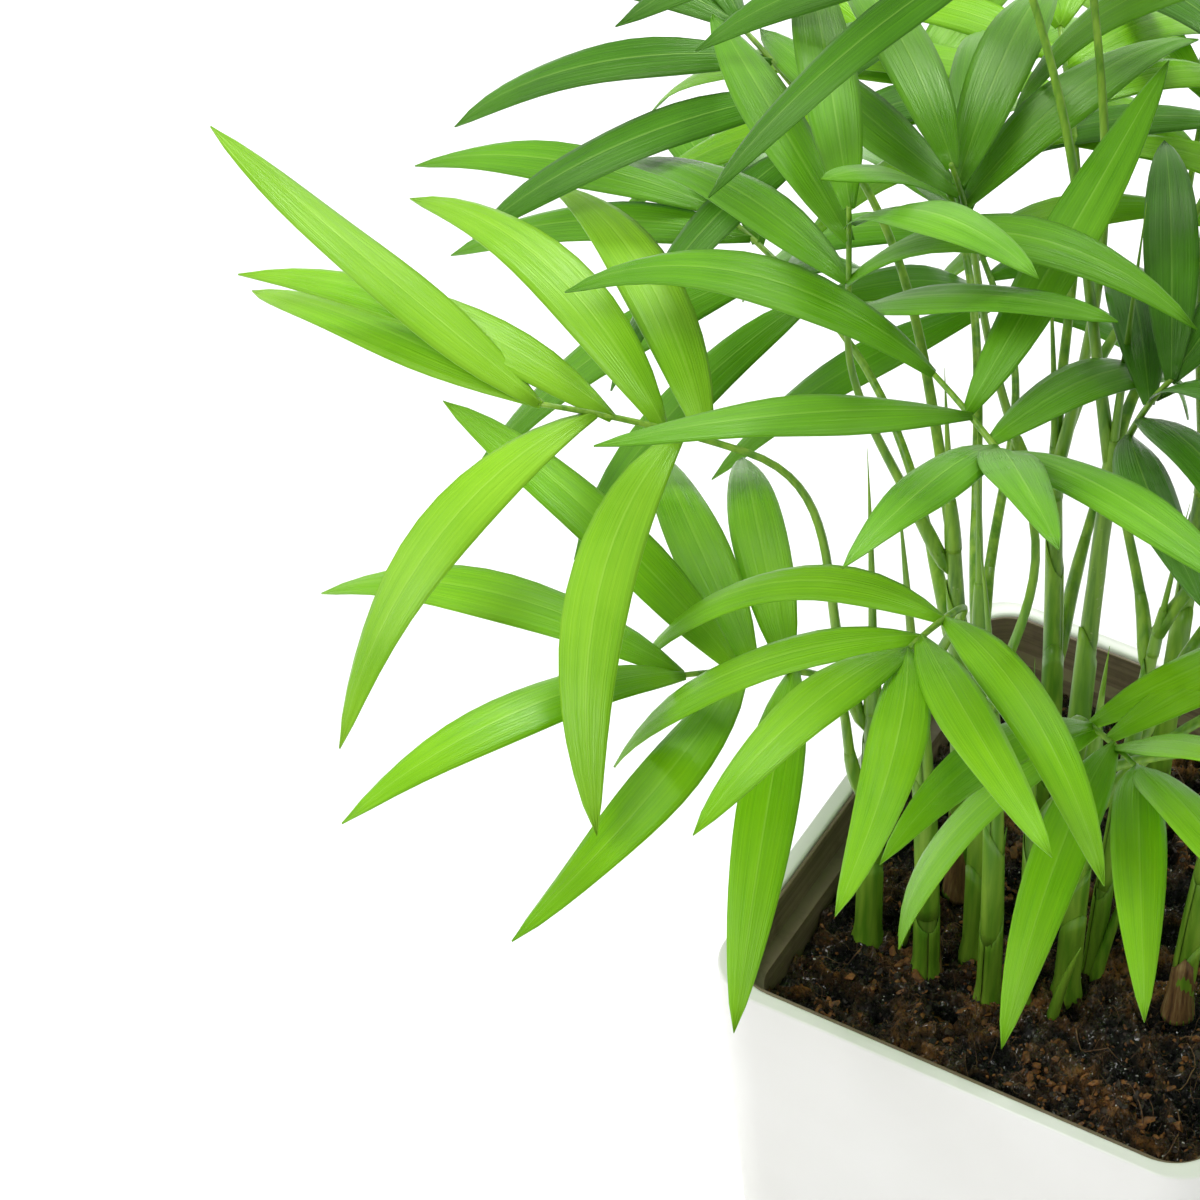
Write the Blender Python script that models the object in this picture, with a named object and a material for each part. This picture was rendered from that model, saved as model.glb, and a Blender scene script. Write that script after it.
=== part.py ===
# A potted parlor palm: a clump of green canes with arching fronds, in a planter with a liner and soil.
# Metres, +Z up. The origin is the middle of the planter's flat underside.

import math
import random

import bmesh
import bpy
from mathutils import Vector
from mathutils.bvhtree import BVHTree

OBJECT_NAME = "potted_parlor_palm"
GAP = 0.0003  # between solids that touch

# Planter: a rounded rectangle, measured at the inner edge of its rim.
OPENING_HALF_X = 0.1025
OPENING_HALF_Y = 0.1175
CORNER_RADIUS = 0.020
CORNER_STEPS = 5
CORNER_TIGHTENS = 0.6  # how much of each step inwards comes off the corner's radius
POT_HEIGHT = 0.200
POT_WALL = 0.0065
POT_FLOOR = 0.008
POT_TAPER = 0.014  # how far each side comes in from the rim to the foot
RIM_ROUND = 0.0015
FOOT_ROUND = 0.004

# Liner: a thin pot inside the planter, with a band above a ledge.
LINER_DROP = 0.001  # its edge lies this far under the planter's rim
LINER_WALL = 0.0016
LINER_BAND = 0.017
LINER_LEDGE = 0.006
LINER_FLOOR = 0.002

# Soil
SOIL_LEVEL = 0.168
SOIL_TOP_ROUND = 0.004

# Canes: foot x and y, height over the soil, radius, lean in degrees and the heading of the lean.
CANES = {
    "cane_left": (-0.071, -0.051, 0.136, 0.0048, 3, 150),
    "cane_front_left": (-0.043, -0.055, 0.168, 0.0047, 5, 200),
    "cane_behind_left": (-0.031, -0.037, 0.185, 0.0040, 4, 160),
    "cane_front": (-0.015, -0.056, 0.158, 0.0043, 4, 250),
    "cane_front_thin": (-0.003, -0.050, 0.130, 0.0028, 5, 270),
    "cane_middle": (0.010, -0.037, 0.150, 0.0046, 5, 300),
    "cane_middle_thin": (0.014, -0.021, 0.190, 0.0033, 4, 20),
    "cane_left_back": (-0.052, -0.008, 0.190, 0.0044, 6, 165),
    "cane_center": (-0.014, 0.006, 0.230, 0.0046, 3, 90),
    "cane_right": (0.052, -0.022, 0.165, 0.0045, 7, 335),
    "cane_right_back": (0.045, 0.024, 0.205, 0.0045, 7, 30),
    "cane_back": (0.006, 0.048, 0.195, 0.0044, 7, 95),
    "cane_back_left": (-0.037, 0.040, 0.180, 0.0042, 7, 140),
}
CANE_TIP_SHARE = 0.68  # the radius at the tip as a share of the radius over the foot
CANE_FLARE = 1.45
FLARE_HEIGHT = 0.012
CANE_STEPS = 7

# Frond ribs are three-sided, and each radius reaches to a corner.
RIB_RADIUS_FOOT = 0.0030
RIB_RADIUS_BLADE = 0.0022
RIB_RADIUS_TIP = 0.0013
PETIOLE_STEPS = 6
RIB_STEPS = 2
RIB_SAG = 12  # degrees
BLADE_CURL = 0.35  # how straight a petiole runs into its rib
ROOT_REST = 0.97  # share of the cane's radius where a side petiole's foot rests, as canes are faceted
ROOT_SPLAY = 0.32
SHEATH_LENGTH = 0.016
SHEATH_SINK = 0.005  # how far up the sheath its petioles start
SHEATH_SPLAY = 14  # degrees

# Leaflets: a blade with a ridge, from a narrow root to a point.
LEAFLET_STATIONS = (0.0, 0.25, 0.667)
LEAFLET_WIDTHS = (0.14, 1.0, 0.88)
LEAFLET_RIDGES = (0.8, 1.0, 0.9)
LEAFLET_RIDGE = 0.0018
LEAFLET_WIDTH_SHARE = 0.145  # whole width as a share of the length
ARC_STEPS = 24  # even steps that a bending line is walked in

# The space that the crown keeps to
CROWN_RADIUS = 0.365
CROWN_TOP = 0.770
CROWN_CLEAR_OF_POT = 0.012
CLEARANCE = 0.0006
CROWN_SEED = 7

# The fronds that face the front left, as the plant holds them. Each has its cane and how far up it
# starts, where its blade begins, the rib's heading, rise and length, and its leaflets: the place along
# the rib, heading, rise, length in millimetres, sag and swerve, with every angle in degrees.
POSED_FRONDS = {
    "frond_far_left": (
        "cane_left", 0.97, (-0.125, -0.065, 0.425), -146, 27, 0.082,
        (
            (1.00, -179, 28, 161, 16, -16),
            (0.97, -176, 12, 150, 44, -28),
            (0.64, -176, 30, 157, 49, 3),
            (0.40, 152, 35, 160, 63, 13),
            (0.19, 133, 28, 159, 54, 18),
            (0.73, -113, 6, 162, 67, 23),
            (0.32, -94, 0, 166, 42, 46),
        ),
    ),
    "frond_low_left": (
        "cane_left", 0.72, (-0.089, -0.085, 0.346), -122, 30, 0.056,
        (
            (1.00, -174, 22, 163, 64, -7),
            (0.98, -113, 33, 157, 52, -1),
            (0.54, 169, 34, 160, 40, -6),
            (0.40, 140, 12, 154, 44, -14),
            (0.50, -81, 9, 156, 20, -24),
            (0.10, 130, 16, 150, 52, -10),
            (0.05, -70, 9, 154, 48, 0),
        ),
    ),
    "frond_front_left": (
        "cane_front_left", 0.97, (-0.028, -0.085, 0.408), -91, 25, 0.040,
        (
            (0.25, 172, 13, 141, 80, 34),
            (0.72, -162, -6, 139, 68, -8),
            (0.98, -97, 29, 139, 38, 3),
            (1.00, -62, 22, 140, 36, -22),
            (0.70, -52, 24, 140, 24, 14),
            (0.22, -34, 24, 140, 49, -11),
        ),
    ),
    "frond_front": (
        "cane_middle", 0.80, (0.016, -0.060, 0.351), -37, 25, 0.042,
        (
            (0.13, -107, 42, 135, 57, 11),
            (0.24, -142, -28, 136, 60, -1),
            (0.55, -84, 19, 139, 61, 6),
            (0.98, -67, 32, 136, 53, 6),
            (1.00, -50, 38, 134, 27, 7),
            (0.63, -30, 50, 134, 32, 1),
            (0.44, 68, 5, 134, 48, 10),
            (0.10, 74, 20, 135, 50, 11),
        ),
    ),
    "frond_high_front": (
        "cane_front", 0.97, (-0.018, -0.073, 0.477), 154, 18, 0.045,
        (
            (0.48, -120, 30, 151, 30, -14),
            (0.97, -179, 32, 154, 74, 10),
            (0.14, -82, 39, 149, 30, -9),
            (0.10, -63, 44, 150, 26, 12),
            (0.08, -29, 34, 149, 31, 0),
            (0.20, 78, 0, 149, 54, 4),
            (0.52, 80, 38, 148, 16, 9),
        ),
    ),
    "frond_upright_left": (
        "cane_left_back", 0.97, (-0.105, -0.025, 0.463), -68, 80, 0.080,
        (
            (0.36, 156, 7, 149, 46, -3),
            (0.70, 146, 14, 149, 34, -16),
            (1.00, 126, 20, 149, 40, -3),
            (0.36, 4, 60, 155, 88, -9),
            (0.12, -17, 44, 149, 24, -1),
            (0.83, -34, 50, 150, 38, -1),
        ),
    ),
    "frond_upright_back": (
        "cane_back_left", 0.97, (-0.078, 0.024, 0.470), -93, 75, 0.068,
        (
            (0.50, 113, 14, 155, 54, 0),
            (0.78, 102, 18, 155, 52, 0),
            (0.55, 81, 19, 155, 50, -2),
            (0.95, 133, 16, 155, 54, 0),
            (0.66, 158, 2, 154, 26, -22),
            (0.29, -100, 46, 148, 30, 1),
        ),
    ),
    "frond_middle": (
        "cane_middle_thin", 0.97, (-0.002, -0.001, 0.436), -20, 73, 0.046,
        (
            (0.54, 120, 9, 140, 57, 0),
            (1.00, 116, 24, 140, 50, 0),
            (0.60, -36, 56, 140, 50, 0),
            (0.31, -39, 36, 140, 51, -7),
            (0.05, -63, 28, 140, 20, 16),
            (0.95, 82, 16, 140, 33, 20),
        ),
    ),
}

# The other fronds face the points of an even spiral over a dome.
DOME_POINTS = 70
DOME_MIDDLE = (0.0, 0.0, 0.325)
DOME_LOWEST = 8  # degrees
DOME_REACH_SIDE = 0.175
DOME_REACH_TOP = 0.325
GOLDEN_TURN = 137.508
POSED_KEEP = 0.075  # no other blade begins nearer to a posed one
FRONT_HEADING = 268  # the posed fronds fill this side, so no dome blade begins there
FRONT_HALF_ANGLE = 72
FRONT_LOWEST = 80
SIZES = (0.90, 1.06)
REACHES = (0.86, 1.08)
HEADING_WANDER = 9
RISE_LEAST = 8
RISE_PER_CLIMB = 0.80
RISE_WANDER = 6
LOAD_EFFORT = 0.02  # metres that one frond more on a cane counts for
HEIGHT_EFFORT = 0.25
TOP_PETIOLE_RISE = 0.13
SIDE_PETIOLE_RISE = 0.07
FRONDS_PER_CANE = 6
TOP_FROND_CLIMB = 20  # degrees: a blade that faces higher grows from the cane's tip
TOP_FRONDS_PER_CANE = 4
PAIRS_LEAST = 3
PAIRS_MOST = 4
PAIR_STAGGER = 0.07
SPREAD_TIP = 20
SPREAD_FOOT = 88
SPREAD_WANDER = 8
LIFTS = (2, 16)
LENGTHS = (0.93, 1.06)
SAGS = (42, 70)
SWERVES = (-16, 6)
ROLLS = (-4, 14)
WIDTHS = (0.9, 1.1)
RIB_LENGTH = 0.058
LEAFLET_LENGTH = 0.150
SIDE_ROOT_HIGHEST = 0.93  # share of the cane's length
SIDE_ROOT_STEP = 0.09

# What is tried in turn until a piece lies clear of its neighbours
POSED_TURNS = (0, 15, -15, 30, -30, 50, -50, 75, -75, 100, -100)
POSED_CURLS = (0.40, 0.55, 0.28, 0.7)
DOME_TURNS = (0, 8, -8, 16, -16, 24, -24)
DOME_CURLS = (0.45, 0.6, 0.3)
LEAFLET_NUDGES = (
    (0, 0), (0, 6), (4, -5), (-4, 5), (8, 0), (-8, 0), (5, 12), (-5, -10), (12, 6), (-12, 6),
    (0, 14), (16, -8), (-16, -8), (0, -16), (20, 0), (-20, 0),
)

# Colours and finishes: base colour, roughness
FINISHES = {
    "planter": ((0.86, 0.85, 0.82), 0.25),
    "liner": ((0.20, 0.15, 0.10), 0.45),
    "soil": ((0.035, 0.020, 0.012), 0.85),
    "cane": ((0.16, 0.36, 0.05), 0.45),
    "frond": ((0.12, 0.42, 0.03), 0.38),
}


def clear_scene():
    for item in list(bpy.data.objects):
        bpy.data.objects.remove(item, do_unlink=True)


def make_collection(name):
    collection = bpy.data.collections.new(name)
    bpy.context.scene.collection.children.link(collection)
    return collection


def make_material(name):
    colour, roughness = FINISHES[name]
    material = bpy.data.materials.new(name)
    material.use_nodes = True
    shader = material.node_tree.nodes["Principled BSDF"]
    shader.inputs["Base Color"].default_value = (*colour, 1.0)
    shader.inputs["Roughness"].default_value = roughness
    shader.inputs["Metallic"].default_value = 0.0
    return material


def add_object(name, mesh, collection, material=None):
    item = bpy.data.objects.new(name, mesh)
    collection.objects.link(item)
    if material:
        mesh.materials.clear()
        mesh.materials.append(material)
    return item


def mesh_from_shape(name, shape):
    """A closed mesh from the corners and faces of a shape, with its faces turned outwards."""
    corners, faces = shape
    work = bmesh.new()
    placed = [work.verts.new(corner) for corner in corners]
    for face in faces:
        work.faces.new([placed[index] for index in face])
    bmesh.ops.recalc_face_normals(work, faces=work.faces[:])
    mesh = bpy.data.meshes.new(name)
    work.to_mesh(mesh)
    work.free()
    return mesh


def shade_round(mesh, angle=40):
    mesh.shade_smooth()
    mesh.set_sharp_from_angle(angle=math.radians(angle))


# Shapes

def join_rings(rings, point=None):
    """Corners and faces of the skin over a row of rings, closed by a cap at each end or a last point."""
    count = len(rings[0])
    corners = [corner for ring in rings for corner in ring]
    faces = [tuple(range(count))]
    for level in range(len(rings) - 1):
        low = level * count
        for side in range(count):
            after = (side + 1) % count
            faces.append((low + side, low + after, low + count + after, low + count + side))
    last = (len(rings) - 1) * count
    if point is None:
        faces.append(tuple(range(last, last + count)))
    else:
        corners.append(point)
        faces += [(last + side, last + (side + 1) % count, last + count) for side in range(count)]
    return corners, faces


def rounded_ring(inset, level):
    """A rounded rectangle that lies a distance inside the opening's edge."""
    half_x = OPENING_HALF_X - inset
    half_y = OPENING_HALF_Y - inset
    radius = CORNER_RADIUS - CORNER_TIGHTENS * inset
    ring = []
    for corner, (side_x, side_y) in enumerate(((1, 1), (-1, 1), (-1, -1), (1, -1))):
        for step in range(CORNER_STEPS + 1):
            angle = math.pi / 2 * (corner + step / CORNER_STEPS)
            ring.append(Vector((
                side_x * (half_x - radius) + radius * math.cos(angle),
                side_y * (half_y - radius) + radius * math.sin(angle),
                level,
            )))
    return ring


def arc_points(start, heading, rise, length, sag, swerve, shares):
    """Points at the given shares of a line that sets out at a heading and a rise and bends evenly."""
    points = []
    place = Vector(start)
    walked = 0
    for share in shares:
        while walked < round(share * ARC_STEPS):
            middle = (walked + 0.5) / ARC_STEPS
            turn = math.radians(heading + swerve * middle)
            climb = math.radians(rise - sag * middle)
            place = place + length / ARC_STEPS * Vector((
                math.cos(climb) * math.cos(turn), math.cos(climb) * math.sin(turn), math.sin(climb)))
            walked += 1
        points.append(place.copy())
    return points


def bezier_points(start, start_handle, end_handle, end, steps):
    points = []
    for step in range(steps + 1):
        share = step / steps
        rest = 1 - share
        points.append(
            rest ** 3 * start + 3 * rest ** 2 * share * start_handle
            + 3 * rest * share ** 2 * end_handle + share ** 3 * end)
    return points


def direction(heading, rise):
    turn = math.radians(heading)
    climb = math.radians(rise)
    return Vector((math.cos(climb) * math.cos(turn), math.cos(climb) * math.sin(turn), math.sin(climb)))


def heading_and_rise(way):
    flat = math.hypot(way.x, way.y)
    return math.degrees(math.atan2(way.y, way.x)), math.degrees(math.atan2(way.z, flat))


def carried_frames(points, first_up):
    """The way on, the side and the upper side at each point, carried along without a twist."""
    frames = []
    up = first_up
    for index, point in enumerate(points):
        before = points[max(index - 1, 0)]
        after = points[min(index + 1, len(points) - 1)]
        way = (after - before).normalized()
        up = (up - up.dot(way) * way).normalized()
        frames.append((point, way.cross(up), up))
    return frames


def tube_shape(points, radii, first_up, grown=0.0, sides=3):
    """A tube along a line, with as many sides as it is given."""
    rings = []
    for (point, side, up), radius in zip(carried_frames(points, first_up), radii):
        reach = radius + grown
        ring = []
        for corner in range(sides):
            angle = 2 * math.pi * corner / sides
            ring.append(point + reach * (math.cos(angle) * up + math.sin(angle) * side))
        rings.append(ring)
    return join_rings(rings)


def leaflet_shape(leaflet, grown=0.0):
    """A pointed blade, flat under and with a ridge along its upper side."""
    line = arc_points(
        leaflet["start"], leaflet["heading"], leaflet["rise"], leaflet["length"],
        leaflet["sag"], leaflet["swerve"], LEAFLET_STATIONS + (1.0,))
    half = leaflet["width"] / 2
    first_up = direction(leaflet["heading"], leaflet["rise"] + 90)
    roll = math.radians(leaflet["roll"])
    rings = []
    frames = carried_frames(line, first_up)
    for (point, side, up), width, ridge in zip(frames, LEAFLET_WIDTHS, LEAFLET_RIDGES):
        across = math.cos(roll) * side + math.sin(roll) * up
        out = math.cos(roll) * up - math.sin(roll) * side
        reach = half * width + grown
        rings.append([
            point - reach * across - grown * out,
            point + reach * across - grown * out,
            point + (LEAFLET_RIDGE * ridge + grown) * out,
        ])
    return join_rings(rings, line[-1])


# Planter, liner and soil

def pot_inset(level):
    """How far the planter's inner wall has come in at a level."""
    return POT_TAPER * (POT_HEIGHT - level) / POT_HEIGHT


def planter_rings():
    profile = [
        (pot_inset(0) - POT_WALL + FOOT_ROUND, 0.0),
        (pot_inset(FOOT_ROUND) - POT_WALL, FOOT_ROUND),
        (-POT_WALL, POT_HEIGHT - RIM_ROUND),
        (RIM_ROUND - POT_WALL, POT_HEIGHT),
        (-RIM_ROUND, POT_HEIGHT),
        (0.0, POT_HEIGHT - RIM_ROUND),
        (pot_inset(POT_FLOOR), POT_FLOOR),
    ]
    return [rounded_ring(inset, level) for inset, level in profile]


def liner_rings():
    top = POT_HEIGHT - LINER_DROP
    ledge = top - LINER_BAND
    floor = POT_FLOOR + GAP
    profile = [
        (pot_inset(floor) + GAP + LINER_LEDGE, floor),
        (pot_inset(ledge - LINER_WALL) + GAP + LINER_LEDGE, ledge - LINER_WALL),
        (pot_inset(ledge - LINER_WALL) + GAP, ledge - LINER_WALL),
        (pot_inset(top) + GAP, top),
        (pot_inset(top) + GAP + LINER_WALL, top),
        (pot_inset(ledge) + GAP + LINER_WALL, ledge),
        (liner_inner_inset(ledge), ledge),
        (liner_inner_inset(floor + LINER_FLOOR), floor + LINER_FLOOR),
    ]
    return [rounded_ring(inset, level) for inset, level in profile]


def liner_inner_inset(level):
    return pot_inset(level) + GAP + LINER_WALL + LINER_LEDGE


def soil_rings():
    floor = POT_FLOOR + GAP + LINER_FLOOR + GAP
    profile = [
        (liner_inner_inset(floor) + GAP, floor),
        (liner_inner_inset(SOIL_LEVEL - SOIL_TOP_ROUND) + GAP, SOIL_LEVEL - SOIL_TOP_ROUND),
        (liner_inner_inset(SOIL_LEVEL) + GAP + SOIL_TOP_ROUND, SOIL_LEVEL),
    ]
    return [rounded_ring(inset, level) for inset, level in profile]


def add_pot(collection):
    for name, rings in (("planter", planter_rings()), ("liner", liner_rings()), ("soil", soil_rings())):
        mesh = mesh_from_shape(name, join_rings(rings))
        shade_round(mesh)
        add_object(name, mesh, collection, make_material(name))


# Canes

def cane_line(name):
    """The middle line of a cane with its radii: upright at the foot, then leaning."""
    foot_x, foot_y, height, radius, lean, heading = CANES[name]
    foot = Vector((foot_x, foot_y, SOIL_LEVEL + GAP))
    knee = foot + Vector((0, 0, FLARE_HEIGHT))
    shares = [step / (CANE_STEPS - 1) for step in range(CANE_STEPS)]
    upper = arc_points(knee, heading, 90 - lean / 3, height - FLARE_HEIGHT, lean, 0, shares)
    points = [foot] + upper
    radii = [radius * CANE_FLARE] + [radius * (1 - (1 - CANE_TIP_SHARE) * share) for share in shares]
    return points, radii


def place_on_cane(line, share):
    """The point, radius and way at a share of a cane's length."""
    points, radii = line
    along = share * (len(points) - 1)
    index = min(int(along), len(points) - 2)
    part = along - index
    point = points[index].lerp(points[index + 1], part)
    radius = radii[index] * (1 - part) + radii[index + 1] * part
    way = (points[index + 1] - points[index]).normalized()
    return point, radius, way


def cane_mesh(name, line):
    """A round tapering tube, made as a curve and turned into a closed mesh."""
    points, radii = line
    curve = bpy.data.curves.new(name, "CURVE")
    curve.dimensions = "3D"
    curve.bevel_depth = 1.0
    curve.bevel_resolution = 2
    curve.use_fill_caps = True
    spline = curve.splines.new("POLY")
    spline.points.add(len(points) - 1)
    for knot, point, radius in zip(spline.points, points, radii):
        knot.co = (*point, 1.0)
        knot.radius = radius
    guide = bpy.data.objects.new(name + "_line", curve)
    bpy.context.scene.collection.objects.link(guide)
    bpy.context.view_layer.update()
    mesh = bpy.data.meshes.new_from_object(guide.evaluated_get(bpy.context.evaluated_depsgraph_get()))
    bpy.data.objects.remove(guide, do_unlink=True)
    work = bmesh.new()
    work.from_mesh(mesh)
    bmesh.ops.remove_doubles(work, verts=work.verts[:], dist=0.00001)
    bmesh.ops.recalc_face_normals(work, faces=work.faces[:])
    work.to_mesh(mesh)
    work.free()
    mesh.name = name
    shade_round(mesh, 60)
    return mesh


# Fronds: the plan

def tree_of(shape):
    corners, faces = shape
    return BVHTree.FromPolygons([tuple(corner) for corner in corners], faces)


def box_of(shape):
    corners = shape[0]
    low = [min(corner[axis] for corner in corners) for axis in range(3)]
    high = [max(corner[axis] for corner in corners) for axis in range(3)]
    return low, high


class Space:
    """What is already placed, so that nothing new touches it."""

    def __init__(self):
        self.taken = []

    def add(self, owner, shape):
        self.taken.append((owner, box_of(shape), tree_of(shape)))

    def is_free(self, owners, shape):
        low, high = box_of(shape)
        tree = None
        for other, (other_low, other_high), other_tree in self.taken:
            if other in owners:
                continue
            if any(low[axis] > other_high[axis] or high[axis] < other_low[axis] for axis in range(3)):
                continue
            tree = tree or tree_of(shape)
            if tree.overlap(other_tree):
                return False
        return True


def in_crown(shape):
    """True where a leaflet keeps inside the crown's space and clear of the pot."""
    for corner in shape[0]:
        if math.hypot(corner[0], corner[1]) > CROWN_RADIUS or corner[2] > CROWN_TOP:
            return False
        beside_pot = (abs(corner[0]) > OPENING_HALF_X + POT_WALL + CROWN_CLEAR_OF_POT
                      or abs(corner[1]) > OPENING_HALF_Y + POT_WALL + CROWN_CLEAR_OF_POT)
        if corner[2] < POT_HEIGHT + CROWN_CLEAR_OF_POT and not beside_pot:
            inside = (abs(corner[0]) < OPENING_HALF_X - LINER_LEDGE - CROWN_CLEAR_OF_POT
                      and abs(corner[1]) < OPENING_HALF_Y - LINER_LEDGE - CROWN_CLEAR_OF_POT)
            if not inside or corner[2] < SOIL_LEVEL + CROWN_CLEAR_OF_POT:
                return False
    return True


def rib_points(base, heading, rise, length):
    shares = [(step + 1) / RIB_STEPS for step in range(RIB_STEPS)]
    return arc_points(base, heading, rise, length, RIB_SAG, 0, shares)


def spine_lines(root, root_way, base, heading, rise, rib_length, curl):
    """The petiole from the cane to the blade, and the rib on from there."""
    way = direction(heading, rise)
    span = (base - root).length
    petiole = bezier_points(
        root, root + curl * span * root_way, base - BLADE_CURL * span * way, base, PETIOLE_STEPS)
    return petiole, rib_points(base, heading, rise, rib_length)


def spine_radii():
    radii = []
    for step in range(PETIOLE_STEPS + 1):
        share = step / PETIOLE_STEPS
        radii.append(RIB_RADIUS_FOOT + (RIB_RADIUS_BLADE - RIB_RADIUS_FOOT) * share)
    for step in range(RIB_STEPS):
        share = (step + 1) / RIB_STEPS
        radii.append(RIB_RADIUS_BLADE + (RIB_RADIUS_TIP - RIB_RADIUS_BLADE) * share)
    return radii


def spine_shape(frond, grown=0.0):
    return tube_shape(frond["petiole"] + frond["rib"], spine_radii(), frond["inward"], grown)


def is_clear(frond, space):
    """True where a petiole and its rib keep their distance, and only the foot comes near its own cane."""
    others_clear = space.is_free((frond["node"], frond["cane"]), spine_shape(frond, CLEARANCE))
    return others_clear and space.is_free((frond["node"],), spine_shape(frond, GAP / 3))


def side_root(line, share, heading):
    """Where a petiole leaves a cane's side: its foot lies a hair clear of the cane."""
    point, radius, way = place_on_cane(line, share)
    outward = direction(heading, 0)
    outward = (outward - outward.dot(way) * way).normalized()
    root = point + (ROOT_REST * radius + RIB_RADIUS_FOOT + GAP) * outward
    leaving = (way + ROOT_SPLAY * outward).normalized()
    return root, leaving, -outward


def sheath_of(line):
    """The short sheath on a cane's tip that carries its top fronds."""
    points, radii = line
    way = (points[-1] - points[-2]).normalized()
    start = points[-1] + GAP * way
    return start, way, radii[-1]


def sheath_shape(line, grown=0.0):
    start, way, radius = sheath_of(line)
    up = direction(0, 0)
    return tube_shape([start, start + SHEATH_LENGTH * way], (radius * 1.06, radius * 0.75), up, grown, 6)


def plan_posed(lines, space):
    fronds = []
    for name, (cane, share, base, heading, rise, rib_length, leaflets) in POSED_FRONDS.items():
        base = Vector(base)
        toward, _ = heading_and_rise(base - place_on_cane(lines[cane], share)[0])
        frond = {"node": name, "cane": cane, "base": base}
        for turned in POSED_TURNS:
            root, leaving, inward = side_root(lines[cane], share, toward + turned)
            for curl in POSED_CURLS:
                petiole, rib = spine_lines(root, leaving, base, heading, rise, rib_length, curl)
                frond.update(petiole=petiole, rib=rib, inward=inward)
                if is_clear(frond, space):
                    break
            else:
                continue
            break
        else:
            raise RuntimeError("no free way for " + name)
        space.add(name, spine_shape(frond))
        frond["leaflets"] = [
            {
                "along": along, "heading": to, "rise": up, "length": long / 1000, "sag": sag,
                "swerve": swerve, "roll": 0, "width": long / 1000 * LEAFLET_WIDTH_SHARE,
            }
            for along, to, up, long, sag, swerve in leaflets
        ]
        fronds.append(frond)
    return fronds


def dome_directions():
    for index in range(DOME_POINTS):
        share = (index + 0.5) / DOME_POINTS
        lowest = math.sin(math.radians(DOME_LOWEST))
        climb = math.degrees(math.asin(lowest + (1 - lowest) * (1 - share)))
        yield index, (index * GOLDEN_TURN) % 360, climb


def choose_cane(base, top_frond, lines, loads):
    """The nearest cane with room for one more frond."""
    def effort(name):
        points, _ = lines[name]
        tip = points[-1]
        flat = math.hypot(base.x - tip.x, base.y - tip.y)
        above = TOP_PETIOLE_RISE if top_frond else SIDE_PETIOLE_RISE
        return flat + LOAD_EFFORT * loads[name] + HEIGHT_EFFORT * abs(base.z - tip.z - above)
    names = [name for name in lines if loads[name] < FRONDS_PER_CANE]
    return min(names, key=effort) if names else None


def fan_of_leaflets(heading, rise, size, chance):
    """Pairs of leaflets along a rib, the last pair forward and the first pair out to the sides."""
    forward = direction(heading, rise)
    side = direction(heading + 90, 0)
    over = forward.cross(side)
    pairs = chance.randint(PAIRS_LEAST, PAIRS_MOST)
    leaflets = []
    for pair in range(pairs):
        share = pair / (pairs - 1)
        for hand in (1, -1):
            along = 0.06 + 0.94 * share - (PAIR_STAGGER if hand < 0 and pair < pairs - 1 else 0)
            spread = SPREAD_FOOT + (SPREAD_TIP - SPREAD_FOOT) * share
            spread = math.radians(spread + chance.uniform(-SPREAD_WANDER, SPREAD_WANDER))
            lift = math.radians(chance.uniform(*LIFTS))
            way = (math.cos(spread) * forward + math.sin(spread) * hand * side - math.sin(lift) * over)
            to, up = heading_and_rise(way)
            long = size * LEAFLET_LENGTH * (0.86 + 0.14 * math.sin(math.pi * (0.25 + 0.6 * share)))
            long *= chance.uniform(*LENGTHS)
            leaflets.append({
                "along": max(along, 0.02), "heading": to, "rise": up, "length": long,
                "sag": chance.uniform(*SAGS), "swerve": hand * chance.uniform(*SWERVES),
                "roll": hand * chance.uniform(*ROLLS),
                "width": long * LEAFLET_WIDTH_SHARE * chance.uniform(*WIDTHS),
            })
    return leaflets


def plan_dome(lines, space, posed):
    """The fronds that fill the rest of the crown, the highest of each cane joined on its sheath."""
    chance = random.Random(CROWN_SEED)
    loads = {name: sum(1 for frond in posed if frond["cane"] == name) for name in lines}
    tops = {name: 0 for name in lines}
    fronds = []
    for index, heading, climb in dome_directions():
        size = chance.uniform(*SIZES)
        reach = chance.uniform(*REACHES)
        heading += chance.uniform(-HEADING_WANDER, HEADING_WANDER)
        fan = chance.randint(0, 9999)
        flat = DOME_REACH_SIDE * math.cos(math.radians(climb)) * reach
        base = Vector(DOME_MIDDLE) + Vector((
            flat * math.cos(math.radians(heading)), flat * math.sin(math.radians(heading)),
            DOME_REACH_TOP * math.sin(math.radians(climb)) * reach))
        if any((base - frond["base"]).length < POSED_KEEP for frond in posed):
            continue
        if climb < FRONT_LOWEST and abs((heading - FRONT_HEADING + 180) % 360 - 180) < FRONT_HALF_ANGLE:
            continue
        top_frond = climb > TOP_FROND_CLIMB
        cane = choose_cane(base, top_frond, lines, loads)
        if cane is None:
            break
        rise = RISE_LEAST + RISE_PER_CLIMB * climb + chance.uniform(-RISE_WANDER, RISE_WANDER)
        on_sheath = top_frond and tops[cane] < TOP_FRONDS_PER_CANE
        node = "top_fronds_of_" + cane if on_sheath else "frond_%02d" % (index + 1)
        frond = find_way(node, cane, lines[cane], on_sheath, base, heading, rise, size, space, loads[cane])
        if frond is None:
            continue
        frond["leaflets"] = fan_of_leaflets(frond["heading"], rise, size, random.Random(fan))
        loads[cane] += 1
        tops[cane] += 1 if on_sheath else 0
        space.add(node, spine_shape(frond))
        fronds.append(frond)
    return fronds


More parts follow.
